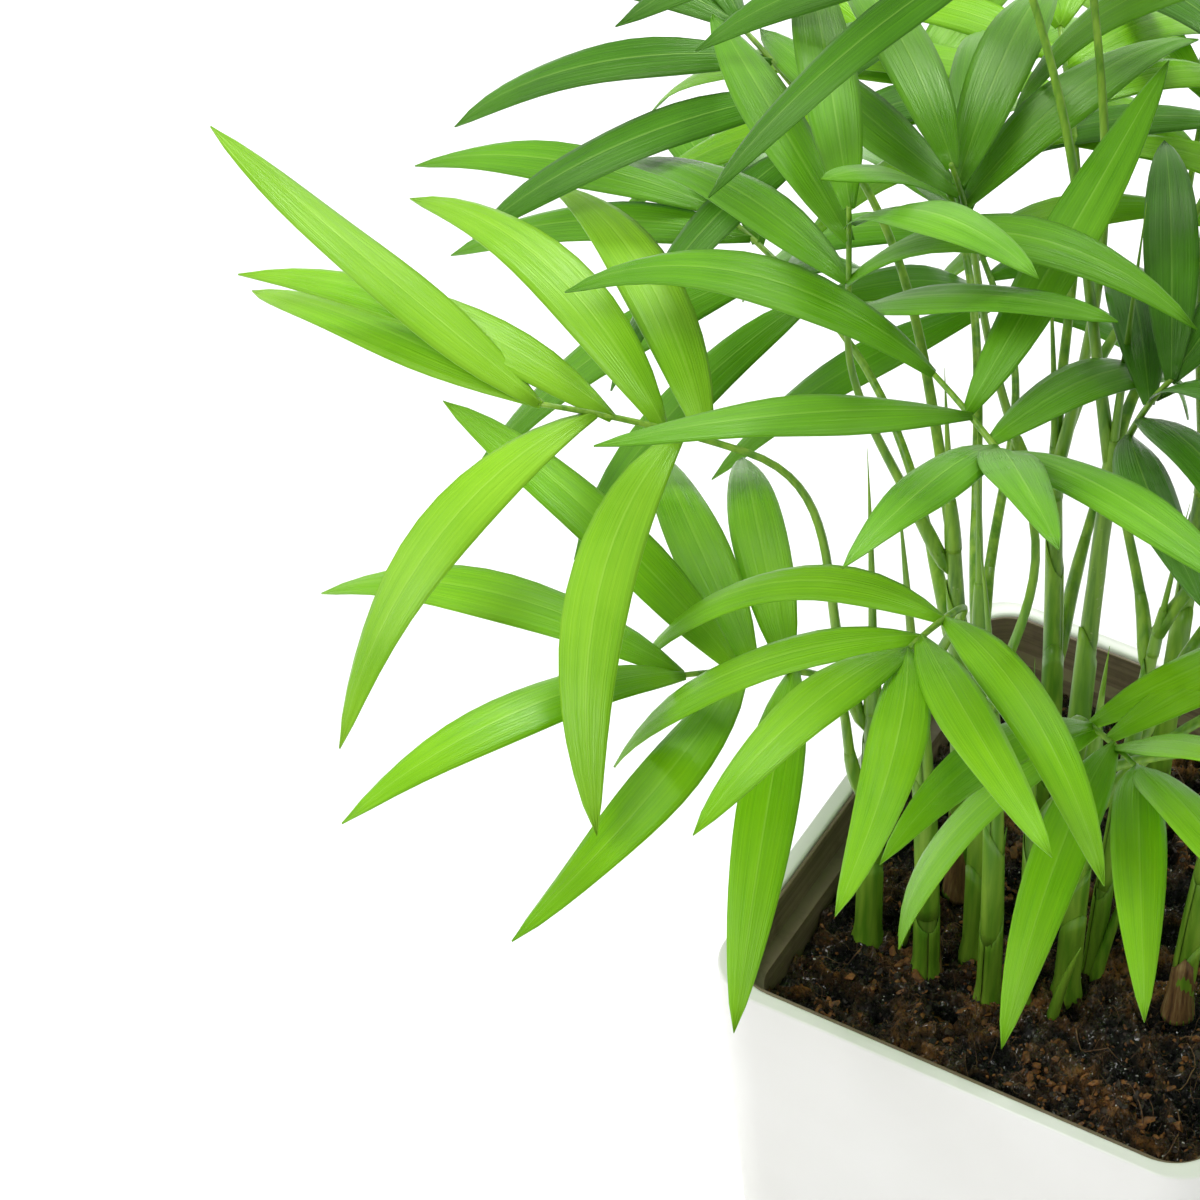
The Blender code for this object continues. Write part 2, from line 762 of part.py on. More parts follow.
def find_way(node, cane, line, on_sheath, base, heading, rise, size, space, load):
    """A free way from the cane to the blade, tried at a few turns and curls, or None."""
    for moved in DOME_TURNS:
        turn = math.radians(moved)
        shifted = Vector((
            base.x * math.cos(turn) - base.y * math.sin(turn),
            base.x * math.sin(turn) + base.y * math.cos(turn), base.z))
        if on_sheath:
            start, way, _ = sheath_of(line)
            outward = shifted - start
            outward = (outward - outward.dot(way) * way).normalized()
            root = start + SHEATH_SINK * way
            splay = math.radians(SHEATH_SPLAY)
            leaving = math.cos(splay) * way + math.sin(splay) * outward
            inward = -outward
        else:
            toward, _ = heading_and_rise(shifted - line[0][-1])
            root, leaving, inward = side_root(line, SIDE_ROOT_HIGHEST - SIDE_ROOT_STEP * load, toward)
        for curl in DOME_CURLS:
            petiole, rib = spine_lines(root, leaving, shifted, heading + moved, rise, RIB_LENGTH * size, curl)
            frond = {
                "node": node, "cane": cane, "base": shifted, "heading": heading + moved,
                "petiole": petiole, "rib": rib, "inward": inward,
            }
            if is_clear(frond, space):
                return frond
    return None


def settle_leaflets(fronds, space):
    """Leaflets are nudged clear of what is placed, and left out where no nudge helps."""
    for frond in fronds:
        rib = [frond["base"]] + frond["rib"]
        kept = []
        for leaflet in frond["leaflets"]:
            along = min(leaflet["along"], 0.985) * RIB_STEPS
            index = min(int(along), RIB_STEPS - 1)
            leaflet["start"] = rib[index].lerp(rib[index + 1], along - index)
            heading, rise = leaflet["heading"], leaflet["rise"]
            for aside, lift in LEAFLET_NUDGES:
                leaflet["heading"] = heading + aside
                leaflet["rise"] = rise + lift
                grown = leaflet_shape(leaflet, CLEARANCE)
                if in_crown(grown) and space.is_free((frond["node"],), grown):
                    space.add(frond["node"], leaflet_shape(leaflet))
                    kept.append(leaflet)
                    break
        frond["leaflets"] = kept


def plan_crown(lines):
    space = Space()
    for name, line in lines.items():
        points, radii = line
        space.add(name, tube_shape(points, radii, direction(0, 0), 0.0, 8))
    for rings in (planter_rings(), liner_rings(), soil_rings()):
        space.add("pot", join_rings(rings))
    for name, line in lines.items():
        space.add("top_fronds_of_" + name, sheath_shape(line, CLEARANCE))
    posed = plan_posed(lines, space)
    settle_leaflets(posed, space)
    others = plan_dome(lines, space, posed)
    settle_leaflets(others, space)
    return posed + others


# Fronds: the solids

def is_closed(mesh):
    uses = {}
    for polygon in mesh.polygons:
        for edge in polygon.edge_keys:
            uses[edge] = uses.get(edge, 0) + 1
    return bool(uses) and all(count == 2 for count in uses.values())


def keep_main_body(mesh):
    """Fill any hollow that the union sealed and drop any loose scrap: only the largest skin stays."""
    work = bmesh.new()
    work.from_mesh(mesh)
    left = set(work.faces)
    skins = []
    while left:
        skin = []
        reached = [left.pop()]
        while reached:
            face = reached.pop()
            skin.append(face)
            for edge in face.edges:
                if len(edge.link_faces) != 2:
                    continue
                for other in edge.link_faces:
                    if other in left:
                        left.discard(other)
                        reached.append(other)
        skins.append(skin)
    if len(skins) > 1:
        skins.sort(key=lambda skin: sum(face.calc_area() for face in skin))
        bmesh.ops.delete(work, geom=[face for skin in skins[:-1] for face in skin], context="FACES")
        loose = [corner for corner in work.verts if not corner.link_faces]
        bmesh.ops.delete(work, geom=loose, context="VERTS")
        work.to_mesh(mesh)
    work.free()


def flip_shared_diagonals(work):
    """Where two flat pieces were split along the same line, one of them takes its other diagonal."""
    for edge in [edge for edge in work.edges if len(edge.link_faces) == 4]:
        faces = list(edge.link_faces)
        first = faces[0]
        partner = max(faces[1:], key=lambda face: face.normal.dot(first.normal))
        rest = [face for face in faces if face not in (first, partner)]
        for pair in ((first, partner), rest):
            tips = [next(corner for corner in face.verts if corner not in edge.verts) for face in pair]
            ends = list(edge.verts)
            if tips[0] == tips[1] or work.edges.get(tips):
                continue
            across = (tips[1].co - tips[0].co).cross(pair[0].normal)
            sides = [across.dot(end.co - tips[0].co) for end in ends]
            if sides[0] * sides[1] >= 0 or pair[0].normal.dot(pair[1].normal) < 0.9:
                continue
            normal = pair[0].normal.copy()
            bmesh.ops.delete(work, geom=pair, context="FACES_ONLY")
            for end in ends:
                face = work.faces.new((tips[0], end, tips[1]))
                face.normal_update()
                if face.normal.dot(normal) < 0:
                    face.normal_flip()
            break


def triangles_of(mesh):
    """The mesh in triangles whose every edge has two faces, or None where no way of splitting gives that."""
    for ngons in ("BEAUTY", "EAR_CLIP"):
        for quads in ("BEAUTY", "SHORT_EDGE", "FIXED"):
            work = bmesh.new()
            work.from_mesh(mesh)
            bmesh.ops.triangulate(work, faces=work.faces[:], quad_method=quads, ngon_method=ngons)
            flip_shared_diagonals(work)
            split = bpy.data.meshes.new(mesh.name)
            work.to_mesh(split)
            work.free()
            if is_closed(split):
                return split
            bpy.data.meshes.remove(split)
    return None


def union_of(name, shapes, solver):
    """The first shape with all the others joined on by one Boolean union."""
    pieces = bpy.data.collections.new(name + "_pieces")
    bpy.context.scene.collection.children.link(pieces)
    trunk = add_object(name + "_trunk", mesh_from_shape(name, shapes[0]), bpy.context.scene.collection)
    for index, shape in enumerate(shapes[1:]):
        label = "%s_piece_%02d" % (name, index)
        add_object(label, mesh_from_shape(label, shape), pieces)
    union = trunk.modifiers.new("join", "BOOLEAN")
    union.operation = "UNION"
    union.operand_type = "COLLECTION"
    union.collection = pieces
    union.solver = solver
    bpy.context.view_layer.update()
    mesh = bpy.data.meshes.new_from_object(trunk.evaluated_get(bpy.context.evaluated_depsgraph_get()))
    for item in list(pieces.objects) + [trunk]:
        bpy.data.objects.remove(item, do_unlink=True)
    bpy.data.collections.remove(pieces)
    keep_main_body(mesh)
    return mesh


def joined_mesh(name, spines, leaflets):
    """One closed mesh of all the shapes. Where it stays open, the leaflet that spoils it is left out."""
    for spoils in [None] + list(range(len(leaflets))):
        shapes = spines + [shape for index, shape in enumerate(leaflets) if index != spoils]
        for solver in ("EXACT", "MANIFOLD"):
            mesh = triangles_of(union_of(name, shapes, solver))
            if mesh:
                mesh.name = name
                if spoils is not None:
                    print("leaflet", spoils, "is left out of", name)
                return mesh
    print("the last leaflet is left out of", name)
    return joined_mesh(name, spines, leaflets[:-1])


def add_fronds(fronds, lines, collection):
    material = make_material("frond")
    nodes = {}
    for frond in fronds:
        nodes.setdefault(frond["node"], []).append(frond)
    for node, members in nodes.items():
        spines = [spine_shape(frond) for frond in members]
        if node.startswith("top_fronds_of_"):
            spines.insert(0, sheath_shape(lines[members[0]["cane"]]))
        leaflets = [leaflet_shape(leaflet) for frond in members for leaflet in frond["leaflets"]]
        add_object(node, joined_mesh(node, spines, leaflets), collection, material)


def main():
    clear_scene()
    collection = make_collection(OBJECT_NAME)
    add_pot(collection)
    lines = {name: cane_line(name) for name in CANES}
    cane_material = make_material("cane")
    for name, line in lines.items():
        add_object(name, cane_mesh(name, line), collection, cane_material)
    fronds = plan_crown(lines)
    add_fronds(fronds, lines, collection)
    print("fronds", len(fronds), "leaflets", sum(len(frond["leaflets"]) for frond in fronds),
          "nodes", len(collection.objects))
    total = 0
    for item in collection.objects:
        item.data.calc_loop_triangles()
        total += len(item.data.loop_triangles)
    print("triangles", total)


main()
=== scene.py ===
import math
import random

import bmesh
import bpy
from mathutils import Euler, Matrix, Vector, noise
from mathutils.bvhtree import BVHTree


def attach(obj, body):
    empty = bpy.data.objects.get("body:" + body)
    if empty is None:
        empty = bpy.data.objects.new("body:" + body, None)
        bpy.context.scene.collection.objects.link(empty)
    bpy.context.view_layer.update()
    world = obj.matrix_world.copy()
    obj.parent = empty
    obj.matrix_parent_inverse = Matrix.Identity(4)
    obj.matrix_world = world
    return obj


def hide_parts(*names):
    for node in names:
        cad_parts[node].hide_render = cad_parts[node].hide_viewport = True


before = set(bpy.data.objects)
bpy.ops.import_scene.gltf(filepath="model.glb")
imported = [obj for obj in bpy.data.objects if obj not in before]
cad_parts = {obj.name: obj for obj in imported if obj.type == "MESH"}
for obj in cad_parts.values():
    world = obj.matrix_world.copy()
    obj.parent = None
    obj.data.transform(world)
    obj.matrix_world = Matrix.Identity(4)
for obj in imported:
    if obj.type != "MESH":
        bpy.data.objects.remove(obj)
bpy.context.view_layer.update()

# A potted parlor palm: the canes and fronds grow by the rule of the solids, in finer meshes.
# Metres, +Z up. The origin is the middle of the planter's flat underside.

tinyGap = 0.0003
noise.seed_set(5)  # without a seed the soil differs from run to run


# Shader helpers

class Wire:
    # a socket whose sums and products add Math nodes
    def __init__(self, tree, socket):
        self.tree = tree
        self.socket = socket

    def maths(self, operation, first, second):
        node = self.tree.nodes.new("ShaderNodeMath")
        node.operation = operation
        for slot, value in zip(node.inputs, (first, second)):
            if isinstance(value, Wire):
                self.tree.links.new(value.socket, slot)
            else:
                slot.default_value = value
        return Wire(self.tree, node.outputs[0])

    def __add__(self, other):
        return self.maths("ADD", self, other)

    def __radd__(self, other):
        return self.maths("ADD", other, self)

    def __sub__(self, other):
        return self.maths("SUBTRACT", self, other)

    def __rsub__(self, other):
        return self.maths("SUBTRACT", other, self)

    def __mul__(self, other):
        return self.maths("MULTIPLY", self, other)

    def __rmul__(self, other):
        return self.maths("MULTIPLY", other, self)

    def __abs__(self):
        return self.maths("ABSOLUTE", self, 0.0)


class Finish:
    # one Principled material, built node by node
    def __init__(self, name):
        self.material = bpy.data.materials.new(name)
        self.material.use_nodes = True
        self.tree = self.material.node_tree
        self.shader = self.tree.nodes["Principled BSDF"]

    def add(self, nodeType, settings=None, sockets=None, out=0):
        node = self.tree.nodes.new(nodeType)
        for name, value in (settings or {}).items():
            if name == "stops":
                ramp = node.color_ramp
                while len(ramp.elements) < len(value):
                    ramp.elements.new(0.5)
                for stop, (place, colour) in zip(ramp.elements, value):
                    stop.position = place
                    stop.color = (*colour, 1.0)
            else:
                setattr(node, name, value)
        for name, value in (sockets or {}).items():
            self.feed(node.inputs[name], value)
        return Wire(self.tree, node.outputs[out])

    def feed(self, socket, value):
        if isinstance(value, Wire):
            self.tree.links.new(value.socket, socket)
        elif isinstance(value, tuple) and socket.type == "RGBA":
            socket.default_value = (*value, 1.0)
        else:
            socket.default_value = value

    def set(self, **values):
        for name, value in values.items():
            self.feed(self.shader.inputs[name.replace("_", " ")], value)

    def place(self, scale=(1, 1, 1)):
        where = self.add("ShaderNodeTexCoord", out="Object")
        return self.add("ShaderNodeMapping", sockets={"Vector": where, "Scale": scale})

    def flat(self, scale=(1, 1, 1)):
        where = self.add("ShaderNodeTexCoord", out="UV")
        return self.add("ShaderNodeMapping", sockets={"Vector": where, "Scale": scale})

    def grain(self, where, size, detail=4.0, rough=0.55):
        sockets = {"Vector": where, "Scale": size, "Detail": detail, "Roughness": rough}
        return self.add("ShaderNodeTexNoise", sockets=sockets)

    def blend(self, share, first, second):
        node = self.tree.nodes.new("ShaderNodeMix")
        node.data_type = "RGBA"
        for slot, value in ((0, share), (6, first), (7, second)):  # factor, A and B of the colour kind
            self.feed(node.inputs[slot], value)
        return Wire(self.tree, node.outputs[2])

    def reach(self, value, low, high, toLow=0.0, toHigh=1.0):
        sockets = {"Value": value, "From Min": low, "From Max": high, "To Min": toLow, "To Max": toHigh}
        return self.add("ShaderNodeMapRange", sockets=sockets)

    def bump(self, height, strength, distance):
        sockets = {"Height": height, "Strength": strength, "Distance": distance}
        self.set(Normal=self.add("ShaderNodeBump", sockets=sockets))


# Finishes

leafTones = {  # base colours of the fronds, light and deep side of each
    "Bright": ((0.250, 0.580, 0.006), (0.130, 0.390, 0.004)),
    "Light": ((0.290, 0.600, 0.022), (0.165, 0.430, 0.009)),
    "Mid": ((0.160, 0.440, 0.009), (0.072, 0.260, 0.005)),
    "Deep": ((0.088, 0.290, 0.008), (0.034, 0.140, 0.005)),
    "Yellow": ((0.400, 0.600, 0.012), (0.230, 0.440, 0.006)),
}


def leafFinish(name):
    light, deep = leafTones[name]
    finish = Finish("leaf" + name)
    veins = finish.grain(finish.flat((1.2, 26, 1)), 1.0, 2.0, 0.5)
    fine = finish.grain(finish.flat((2.5, 110, 1)), 1.0, 2.0, 0.5)
    patches = finish.grain(finish.place(), 16.0, 3.0)
    tone = finish.reach(patches * 0.45 + veins * 0.40 + fine * 0.25, 0.40, 0.70)
    body = finish.blend(tone, deep, light)
    across = finish.add("ShaderNodeSeparateXYZ", sockets={"Vector": finish.flat()}, out="Y")
    rib = finish.reach(abs(across - 0.5), 0.006, 0.024, 0.35, 0.0)
    paler = tuple(0.5 * part + 0.5 * whole for part, whole in zip(light, (0.50, 0.78, 0.16)))
    finish.set(Base_Color=finish.blend(rib, body, paler))
    finish.set(Roughness=finish.reach(patches + fine * 0.4, 0.5, 0.9, 0.24, 0.40))
    finish.shader.inputs["Specular IOR Level"].default_value = 0.45
    finish.shader.inputs["Specular Tint"].default_value = (0.80, 1.0, 0.60, 1.0)
    finish.bump(veins + fine * 0.35, 0.55, 0.0007)
    return finish.material


def stalkFinish():
    finish = Finish("stalkGreen")
    streaks = finish.grain(finish.place((260, 260, 18)), 1.0, 3.0)
    body = finish.blend(finish.reach(streaks, 0.35, 0.65), (0.105, 0.270, 0.012), (0.260, 0.460, 0.035))
    finish.set(Base_Color=body, Roughness=finish.reach(streaks, 0.3, 0.7, 0.34, 0.5))
    finish.bump(streaks, 0.3, 0.0004)
    return finish.material


def caneFinish():
    finish = Finish("caneGreen")
    streaks = finish.grain(finish.place((420, 420, 16)), 1.0, 4.0)
    specks = finish.grain(finish.place(), 330.0, 2.0)
    height = finish.add("ShaderNodeSeparateXYZ", sockets={"Vector": finish.place()}, out="Z")
    foot = finish.reach(height + finish.grain(finish.place(), 60.0) * 0.03, 0.180, 0.225, 1.0, 0.0)
    green = finish.blend(finish.reach(streaks, 0.35, 0.68), (0.085, 0.215, 0.014), (0.250, 0.430, 0.045))
    brown = finish.blend(streaks, (0.10, 0.060, 0.018), (0.33, 0.28, 0.075))
    body = finish.blend(foot * 0.75, green, brown)
    body = finish.blend(finish.reach(specks, 0.66, 0.74, 0.0, 0.5), body, (0.42, 0.46, 0.20))
    finish.set(Base_Color=body, Roughness=finish.reach(streaks, 0.3, 0.7, 0.36, 0.56))
    finish.bump(streaks + specks * 0.3, 0.4, 0.0006)
    return finish.material


def driedFinish():
    finish = Finish("driedSheath")
    streaks = finish.grain(finish.place((520, 520, 22)), 1.0, 5.0, 0.7)
    body = finish.add("ShaderNodeValToRGB", {"stops": (
        (0.30, (0.060, 0.026, 0.010)), (0.52, (0.230, 0.120, 0.040)), (0.72, (0.420, 0.290, 0.120)))},
        {"Fac": streaks})
    finish.set(Base_Color=body, Roughness=finish.reach(streaks, 0.2, 0.8, 0.6, 0.85))
    finish.bump(streaks, 0.8, 0.0010)
    return finish.material


def glazeFinish():
    finish = Finish("planterGlaze")
    cloud = finish.grain(finish.place(), 9.0, 3.0)
    fine = finish.grain(finish.place(), 260.0, 2.0)
    body = finish.blend(finish.reach(cloud, 0.3, 0.7), (0.90, 0.895, 0.875), (0.84, 0.83, 0.80))
    finish.set(Base_Color=body, Roughness=finish.reach(cloud + fine * 0.2, 0.3, 0.8, 0.30, 0.38))
    finish.bump(fine, 0.06, 0.0003)
    return finish.material


def linerFinish():
    finish = Finish("linerPlastic")
    lines = finish.grain(finish.place((6, 6, 700)), 1.0, 2.0)
    dust = finish.grain(finish.place(), 38.0, 6.0, 0.7)
    body = finish.blend(finish.reach(lines, 0.3, 0.7), (0.150, 0.108, 0.066), (0.235, 0.178, 0.116))
    body = finish.blend(finish.reach(dust, 0.50, 0.72, 0.0, 0.7), body, (0.072, 0.046, 0.028))
    finish.set(Base_Color=body, Roughness=finish.reach(dust, 0.3, 0.7, 0.38, 0.62))
    finish.bump(lines + dust * 0.5, 0.35, 0.0005)
    return finish.material


def soilFinish():
    finish = Finish("wetPeat")
    zones = finish.grain(finish.place(), 34.0, 3.0, 0.6)
    clods = finish.grain(finish.place(), 120.0, 8.0, 0.72)
    crumbs = finish.grain(finish.place(), 560.0, 6.0, 0.75)
    fibres = finish.grain(finish.place((900, 260, 300)), 1.0, 4.0, 0.7)
    height = finish.add("ShaderNodeSeparateXYZ", sockets={"Vector": finish.place()}, out="Z")
    # painted shade and light: the peat is coloured darker low in the crevices and paler on the tops of the
    # clods
    paintedShadeAndLight = finish.reach(height, pot["soil"] - 0.005, pot["soil"] + 0.006, -0.10, 0.08)
    mixed = zones * 0.42 + clods * 0.30 + crumbs * 0.16 + fibres * 0.12 + paintedShadeAndLight
    body = finish.add("ShaderNodeValToRGB", {"stops": (
        (0.42, (0.0012, 0.0014, 0.0014)), (0.51, (0.011, 0.009, 0.006)), (0.58, (0.085, 0.040, 0.012)),
        (0.67, (0.460, 0.200, 0.045)))}, {"Fac": mixed})
    finish.set(Base_Color=body, Roughness=finish.reach(crumbs, 0.40, 0.62, 0.10, 0.60))
    finish.set(Coat_Weight=finish.reach(clods, 0.46, 0.60, 0.0, 0.9))
    finish.shader.inputs["Coat Roughness"].default_value = 0.08
    finish.bump(clods + crumbs * 0.8 + fibres * 0.3, 1.0, 0.0036)
    return finish.material


def barkFinish(name, dark, pale):
    finish = Finish(name)
    fibre = finish.grain(finish.place((300, 300, 300)), 1.0, 5.0, 0.7)
    finish.set(Base_Color=finish.blend(finish.reach(fibre, 0.32, 0.68), dark, pale))
    finish.set(Roughness=finish.reach(fibre, 0.3, 0.7, 0.34, 0.8))
    finish.bump(fibre, 0.8, 0.0010)
    return finish.material


def floorFinish():
    finish = Finish("paleFloor")
    cloud = finish.grain(finish.place(), 1.5, 2.0)
    finish.set(Base_Color=finish.blend(cloud, (0.93, 0.93, 0.925), (0.95, 0.95, 0.95)), Roughness=0.9)
    return finish.material


# The rule that the plant grows by, as in the solids

arcSteps = 24
canes = {  # foot x and y, height over the soil, radius, lean in degrees, heading of the lean
    "cane_left": (-0.071, -0.051, 0.136, 0.0048, 3, 150),
    "cane_front_left": (-0.043, -0.055, 0.168, 0.0047, 5, 200),
    "cane_behind_left": (-0.031, -0.037, 0.185, 0.0040, 4, 160),
    "cane_front": (-0.015, -0.056, 0.158, 0.0043, 4, 250),
    "cane_front_thin": (-0.003, -0.050, 0.130, 0.0028, 5, 270),
    "cane_middle": (0.010, -0.037, 0.150, 0.0046, 5, 300),
    "cane_middle_thin": (0.014, -0.021, 0.190, 0.0033, 4, 20),
    "cane_left_back": (-0.052, -0.008, 0.190, 0.0044, 6, 165),
    "cane_center": (-0.014, 0.006, 0.230, 0.0046, 3, 90),
    "cane_right": (0.052, -0.022, 0.165, 0.0045, 7, 335),
    "cane_right_back": (0.045, 0.024, 0.205, 0.0045, 7, 30),
    "cane_back": (0.006, 0.048, 0.195, 0.0044, 7, 95),
    "cane_back_left": (-0.037, 0.040, 0.180, 0.0042, 7, 140),
}
caneShape = {"tipShare": 0.68, "flare": 1.45, "flareHeight": 0.012, "steps": 7}

pot = {
    "halfX": 0.1025, "halfY": 0.1175, "corner": 0.020, "tightens": 0.6, "cornerSteps": 5,
    "height": 0.200, "wall": 0.0065, "floor": 0.008, "taper": 0.014, "rimRound": 0.0015,
    "footRound": 0.004, "linerDrop": 0.001, "linerWall": 0.0016, "linerBand": 0.017,
    "linerLedge": 0.006, "linerFloor": 0.002, "soil": 0.168, "soilRound": 0.004,
}

spine = {
    "foot": 0.0030, "blade": 0.0022, "tip": 0.0013, "petioleSteps": 6, "ribSteps": 2, "ribSag": 12,
    "bladeCurl": 0.35, "finePetiole": 18, "fineRib": 8, "rootRest": 0.97, "rootSplay": 0.32,
    "sheath": 0.016, "sheathSink": 0.005, "sheathFoot": 1.06, "sheathTip": 0.75, "splay": 14,
}

leafShape = {
    "stations": (0.0, 0.25, 0.667), "widths": (0.14, 1.0, 0.88), "ridges": (0.8, 1.0, 0.9),
    "ridge": 0.0018, "widthShare": 0.145,
}

crown = {
    "radius": 0.365, "top": 0.770, "overPot": 0.012, "clearance": 0.0006, "seed": 7,
    "points": 70, "middle": (0.0, 0.0, 0.325), "lowest": 8, "reachSide": 0.175, "reachTop": 0.325,
    "golden": 137.508, "posedKeep": 0.075, "perCane": 6, "topClimb": 20, "topPerCane": 4,
    "frontHeading": 268, "frontHalf": 72, "frontLowest": 80,
    "sizes": (0.90, 1.06), "reaches": (0.86, 1.08), "headingWander": 9,
    "riseBase": 8, "riseShare": 0.80, "riseWander": 6, "loadEffort": 0.02, "heightEffort": 0.25,
    "topPetiole": 0.13, "sidePetiole": 0.07, "sideRoot": 0.93, "sideRootStep": 0.09,
    "pairsLeast": 3, "pairsMost": 4, "spreadTip": 20, "spreadFoot": 88, "spreadWander": 8,
    "pairStagger": 0.07, "rib": 0.058, "leaflet": 0.150, "lengths": (0.93, 1.06), "widths": (0.9, 1.1),
    "lifts": (2, 16), "sags": (42, 70), "swerves": (-16, 6), "rolls": (-4, 14),
    "posedTurns": (0, 15, -15, 30, -30, 50, -50, 75, -75, 100, -100), "posedCurls": (0.40, 0.55, 0.28, 0.7),
    "domeTurns": (0, 8, -8, 16, -16, 24, -24), "domeCurls": (0.45, 0.6, 0.3),
    "nudges": (
        (0, 0), (0, 6), (4, -5), (-4, 5), (8, 0), (-8, 0), (5, 12), (-5, -10), (12, 6), (-12, 6),
        (0, 14), (16, -8), (-16, -8), (0, -16), (20, 0), (-20, 0),
    ),
}

# cane, how far up it, where the blade begins, the rib's heading, rise and length, then the leaflets:
# place along the rib, heading, rise, length in millimetres, sag and swerve
posedFronds = {
    "frond_far_left": (
        "cane_left", 0.97, (-0.125, -0.065, 0.425), -146, 27, 0.082,
        (1.00, -179, 28, 161, 16, -16),
        (0.97, -176, 12, 150, 44, -28),
        (0.64, -176, 30, 157, 49, 3),
        (0.40, 152, 35, 160, 63, 13),
        (0.19, 133, 28, 159, 54, 18),
        (0.73, -113, 6, 162, 67, 23),
        (0.32, -94, 0, 166, 42, 46),
    ),
    "frond_low_left": (
        "cane_left", 0.72, (-0.089, -0.085, 0.346), -122, 30, 0.056,
        (1.00, -174, 22, 163, 64, -7),
        (0.98, -113, 33, 157, 52, -1),
        (0.54, 169, 34, 160, 40, -6),
        (0.40, 140, 12, 154, 44, -14),
        (0.50, -81, 9, 156, 20, -24),
        (0.10, 130, 16, 150, 52, -10),
        (0.05, -70, 9, 154, 48, 0),
    ),
    "frond_front_left": (
        "cane_front_left", 0.97, (-0.028, -0.085, 0.408), -91, 25, 0.040,
        (0.25, 172, 13, 141, 80, 34),
        (0.72, -162, -6, 139, 68, -8),
        (0.98, -97, 29, 139, 38, 3),
        (1.00, -62, 22, 140, 36, -22),
        (0.70, -52, 24, 140, 24, 14),
        (0.22, -34, 24, 140, 49, -11),
    ),
    "frond_front": (
        "cane_middle", 0.80, (0.016, -0.060, 0.351), -37, 25, 0.042,
        (0.13, -107, 42, 135, 57, 11),
        (0.24, -142, -28, 136, 60, -1),
        (0.55, -84, 19, 139, 61, 6),
        (0.98, -67, 32, 136, 53, 6),
        (1.00, -50, 38, 134, 27, 7),
        (0.63, -30, 50, 134, 32, 1),
        (0.44, 68, 5, 134, 48, 10),
        (0.10, 74, 20, 135, 50, 11),
    ),
    "frond_high_front": (
        "cane_front", 0.97, (-0.018, -0.073, 0.477), 154, 18, 0.045,
        (0.48, -120, 30, 151, 30, -14),
        (0.97, -179, 32, 154, 74, 10),
        (0.14, -82, 39, 149, 30, -9),
        (0.10, -63, 44, 150, 26, 12),
        (0.08, -29, 34, 149, 31, 0),
        (0.20, 78, 0, 149, 54, 4),
        (0.52, 80, 38, 148, 16, 9),
    ),
    "frond_upright_left": (
        "cane_left_back", 0.97, (-0.105, -0.025, 0.463), -68, 80, 0.080,
        (0.36, 156, 7, 149, 46, -3),
        (0.70, 146, 14, 149, 34, -16),
        (1.00, 126, 20, 149, 40, -3),
        (0.36, 4, 60, 155, 88, -9),
        (0.12, -17, 44, 149, 24, -1),
        (0.83, -34, 50, 150, 38, -1),
    ),
    "frond_upright_back": (
        "cane_back_left", 0.97, (-0.078, 0.024, 0.470), -93, 75, 0.068,
        (0.50, 113, 14, 155, 54, 0),
        (0.78, 102, 18, 155, 52, 0),
        (0.55, 81, 19, 155, 50, -2),
        (0.95, 133, 16, 155, 54, 0),
        (0.66, 158, 2, 154, 26, -22),
        (0.29, -100, 46, 148, 30, 1),
    ),
    "frond_middle": (
        "cane_middle_thin", 0.97, (-0.002, -0.001, 0.436), -20, 73, 0.046,
        (0.54, 120, 9, 140, 57, 0),
        (1.00, 116, 24, 140, 50, 0),
        (0.60, -36, 56, 140, 50, 0),
        (0.31, -39, 36, 140, 51, -7),
        (0.05, -63, 28, 140, 20, 16),
        (0.95, 82, 16, 140, 33, 20),
    ),
}


def direction(heading, rise):
    turn = math.radians(heading)
    climb = math.radians(rise)
    return Vector((math.cos(climb) * math.cos(turn), math.cos(climb) * math.sin(turn), math.sin(climb)))


def headingAndRise(way):
    flat = math.hypot(way.x, way.y)
    return math.degrees(math.atan2(way.y, way.x)), math.degrees(math.atan2(way.z, flat))


def arcPoints(start, heading, rise, length, sag, swerve, shares, fineSteps=arcSteps):
    points = []
    place = Vector(start)
    walked = 0
    for share in shares:
        while walked < round(share * fineSteps):
            middle = (walked + 0.5) / fineSteps
            turn = math.radians(heading + swerve * middle)
            climb = math.radians(rise - sag * middle)
            place = place + length / fineSteps * Vector((
                math.cos(climb) * math.cos(turn), math.cos(climb) * math.sin(turn), math.sin(climb)))
            walked += 1
        points.append(place.copy())
    return points


def bezierPoints(start, startHandle, endHandle, end, steps):
    points = []
    for step in range(steps + 1):
        share = step / steps
        rest = 1 - share
        points.append(
            rest ** 3 * start + 3 * rest ** 2 * share * startHandle
            + 3 * rest * share ** 2 * endHandle + share ** 3 * end)
    return points


def carriedFrames(points, firstUp):
    frames = []
    up = firstUp
    for index, point in enumerate(points):
        before = points[max(index - 1, 0)]
        after = points[min(index + 1, len(points) - 1)]
        way = (after - before).normalized()
        up = (up - up.dot(way) * way).normalized()
        frames.append((point, way.cross(up), up))
    return frames


def joinRings(rings, point=None):
    count = len(rings[0])
    corners = [corner for ring in rings for corner in ring]
    faces = [tuple(reversed(range(count)))]
    for level in range(len(rings) - 1):
        low = level * count
        for side in range(count):
            after = (side + 1) % count
            faces.append((low + side, low + after, low + count + after, low + count + side))
    last = (len(rings) - 1) * count
    if point is None:
        faces.append(tuple(range(last, last + count)))
    else:
        corners.append(point)
        faces += [(last + side, last + (side + 1) % count, last + count) for side in range(count)]
    return corners, faces


def tubeShape(points, radii, firstUp, grown=0.0, sides=3):
    rings = []
    for (point, side, up), radius in zip(carriedFrames(points, firstUp), radii):
        reach = radius + grown
        ring = []
        for corner in range(sides):
            angle = 2 * math.pi * corner / sides
            ring.append(point + reach * (math.cos(angle) * up + math.sin(angle) * side))
        rings.append(ring)
    return joinRings(rings)


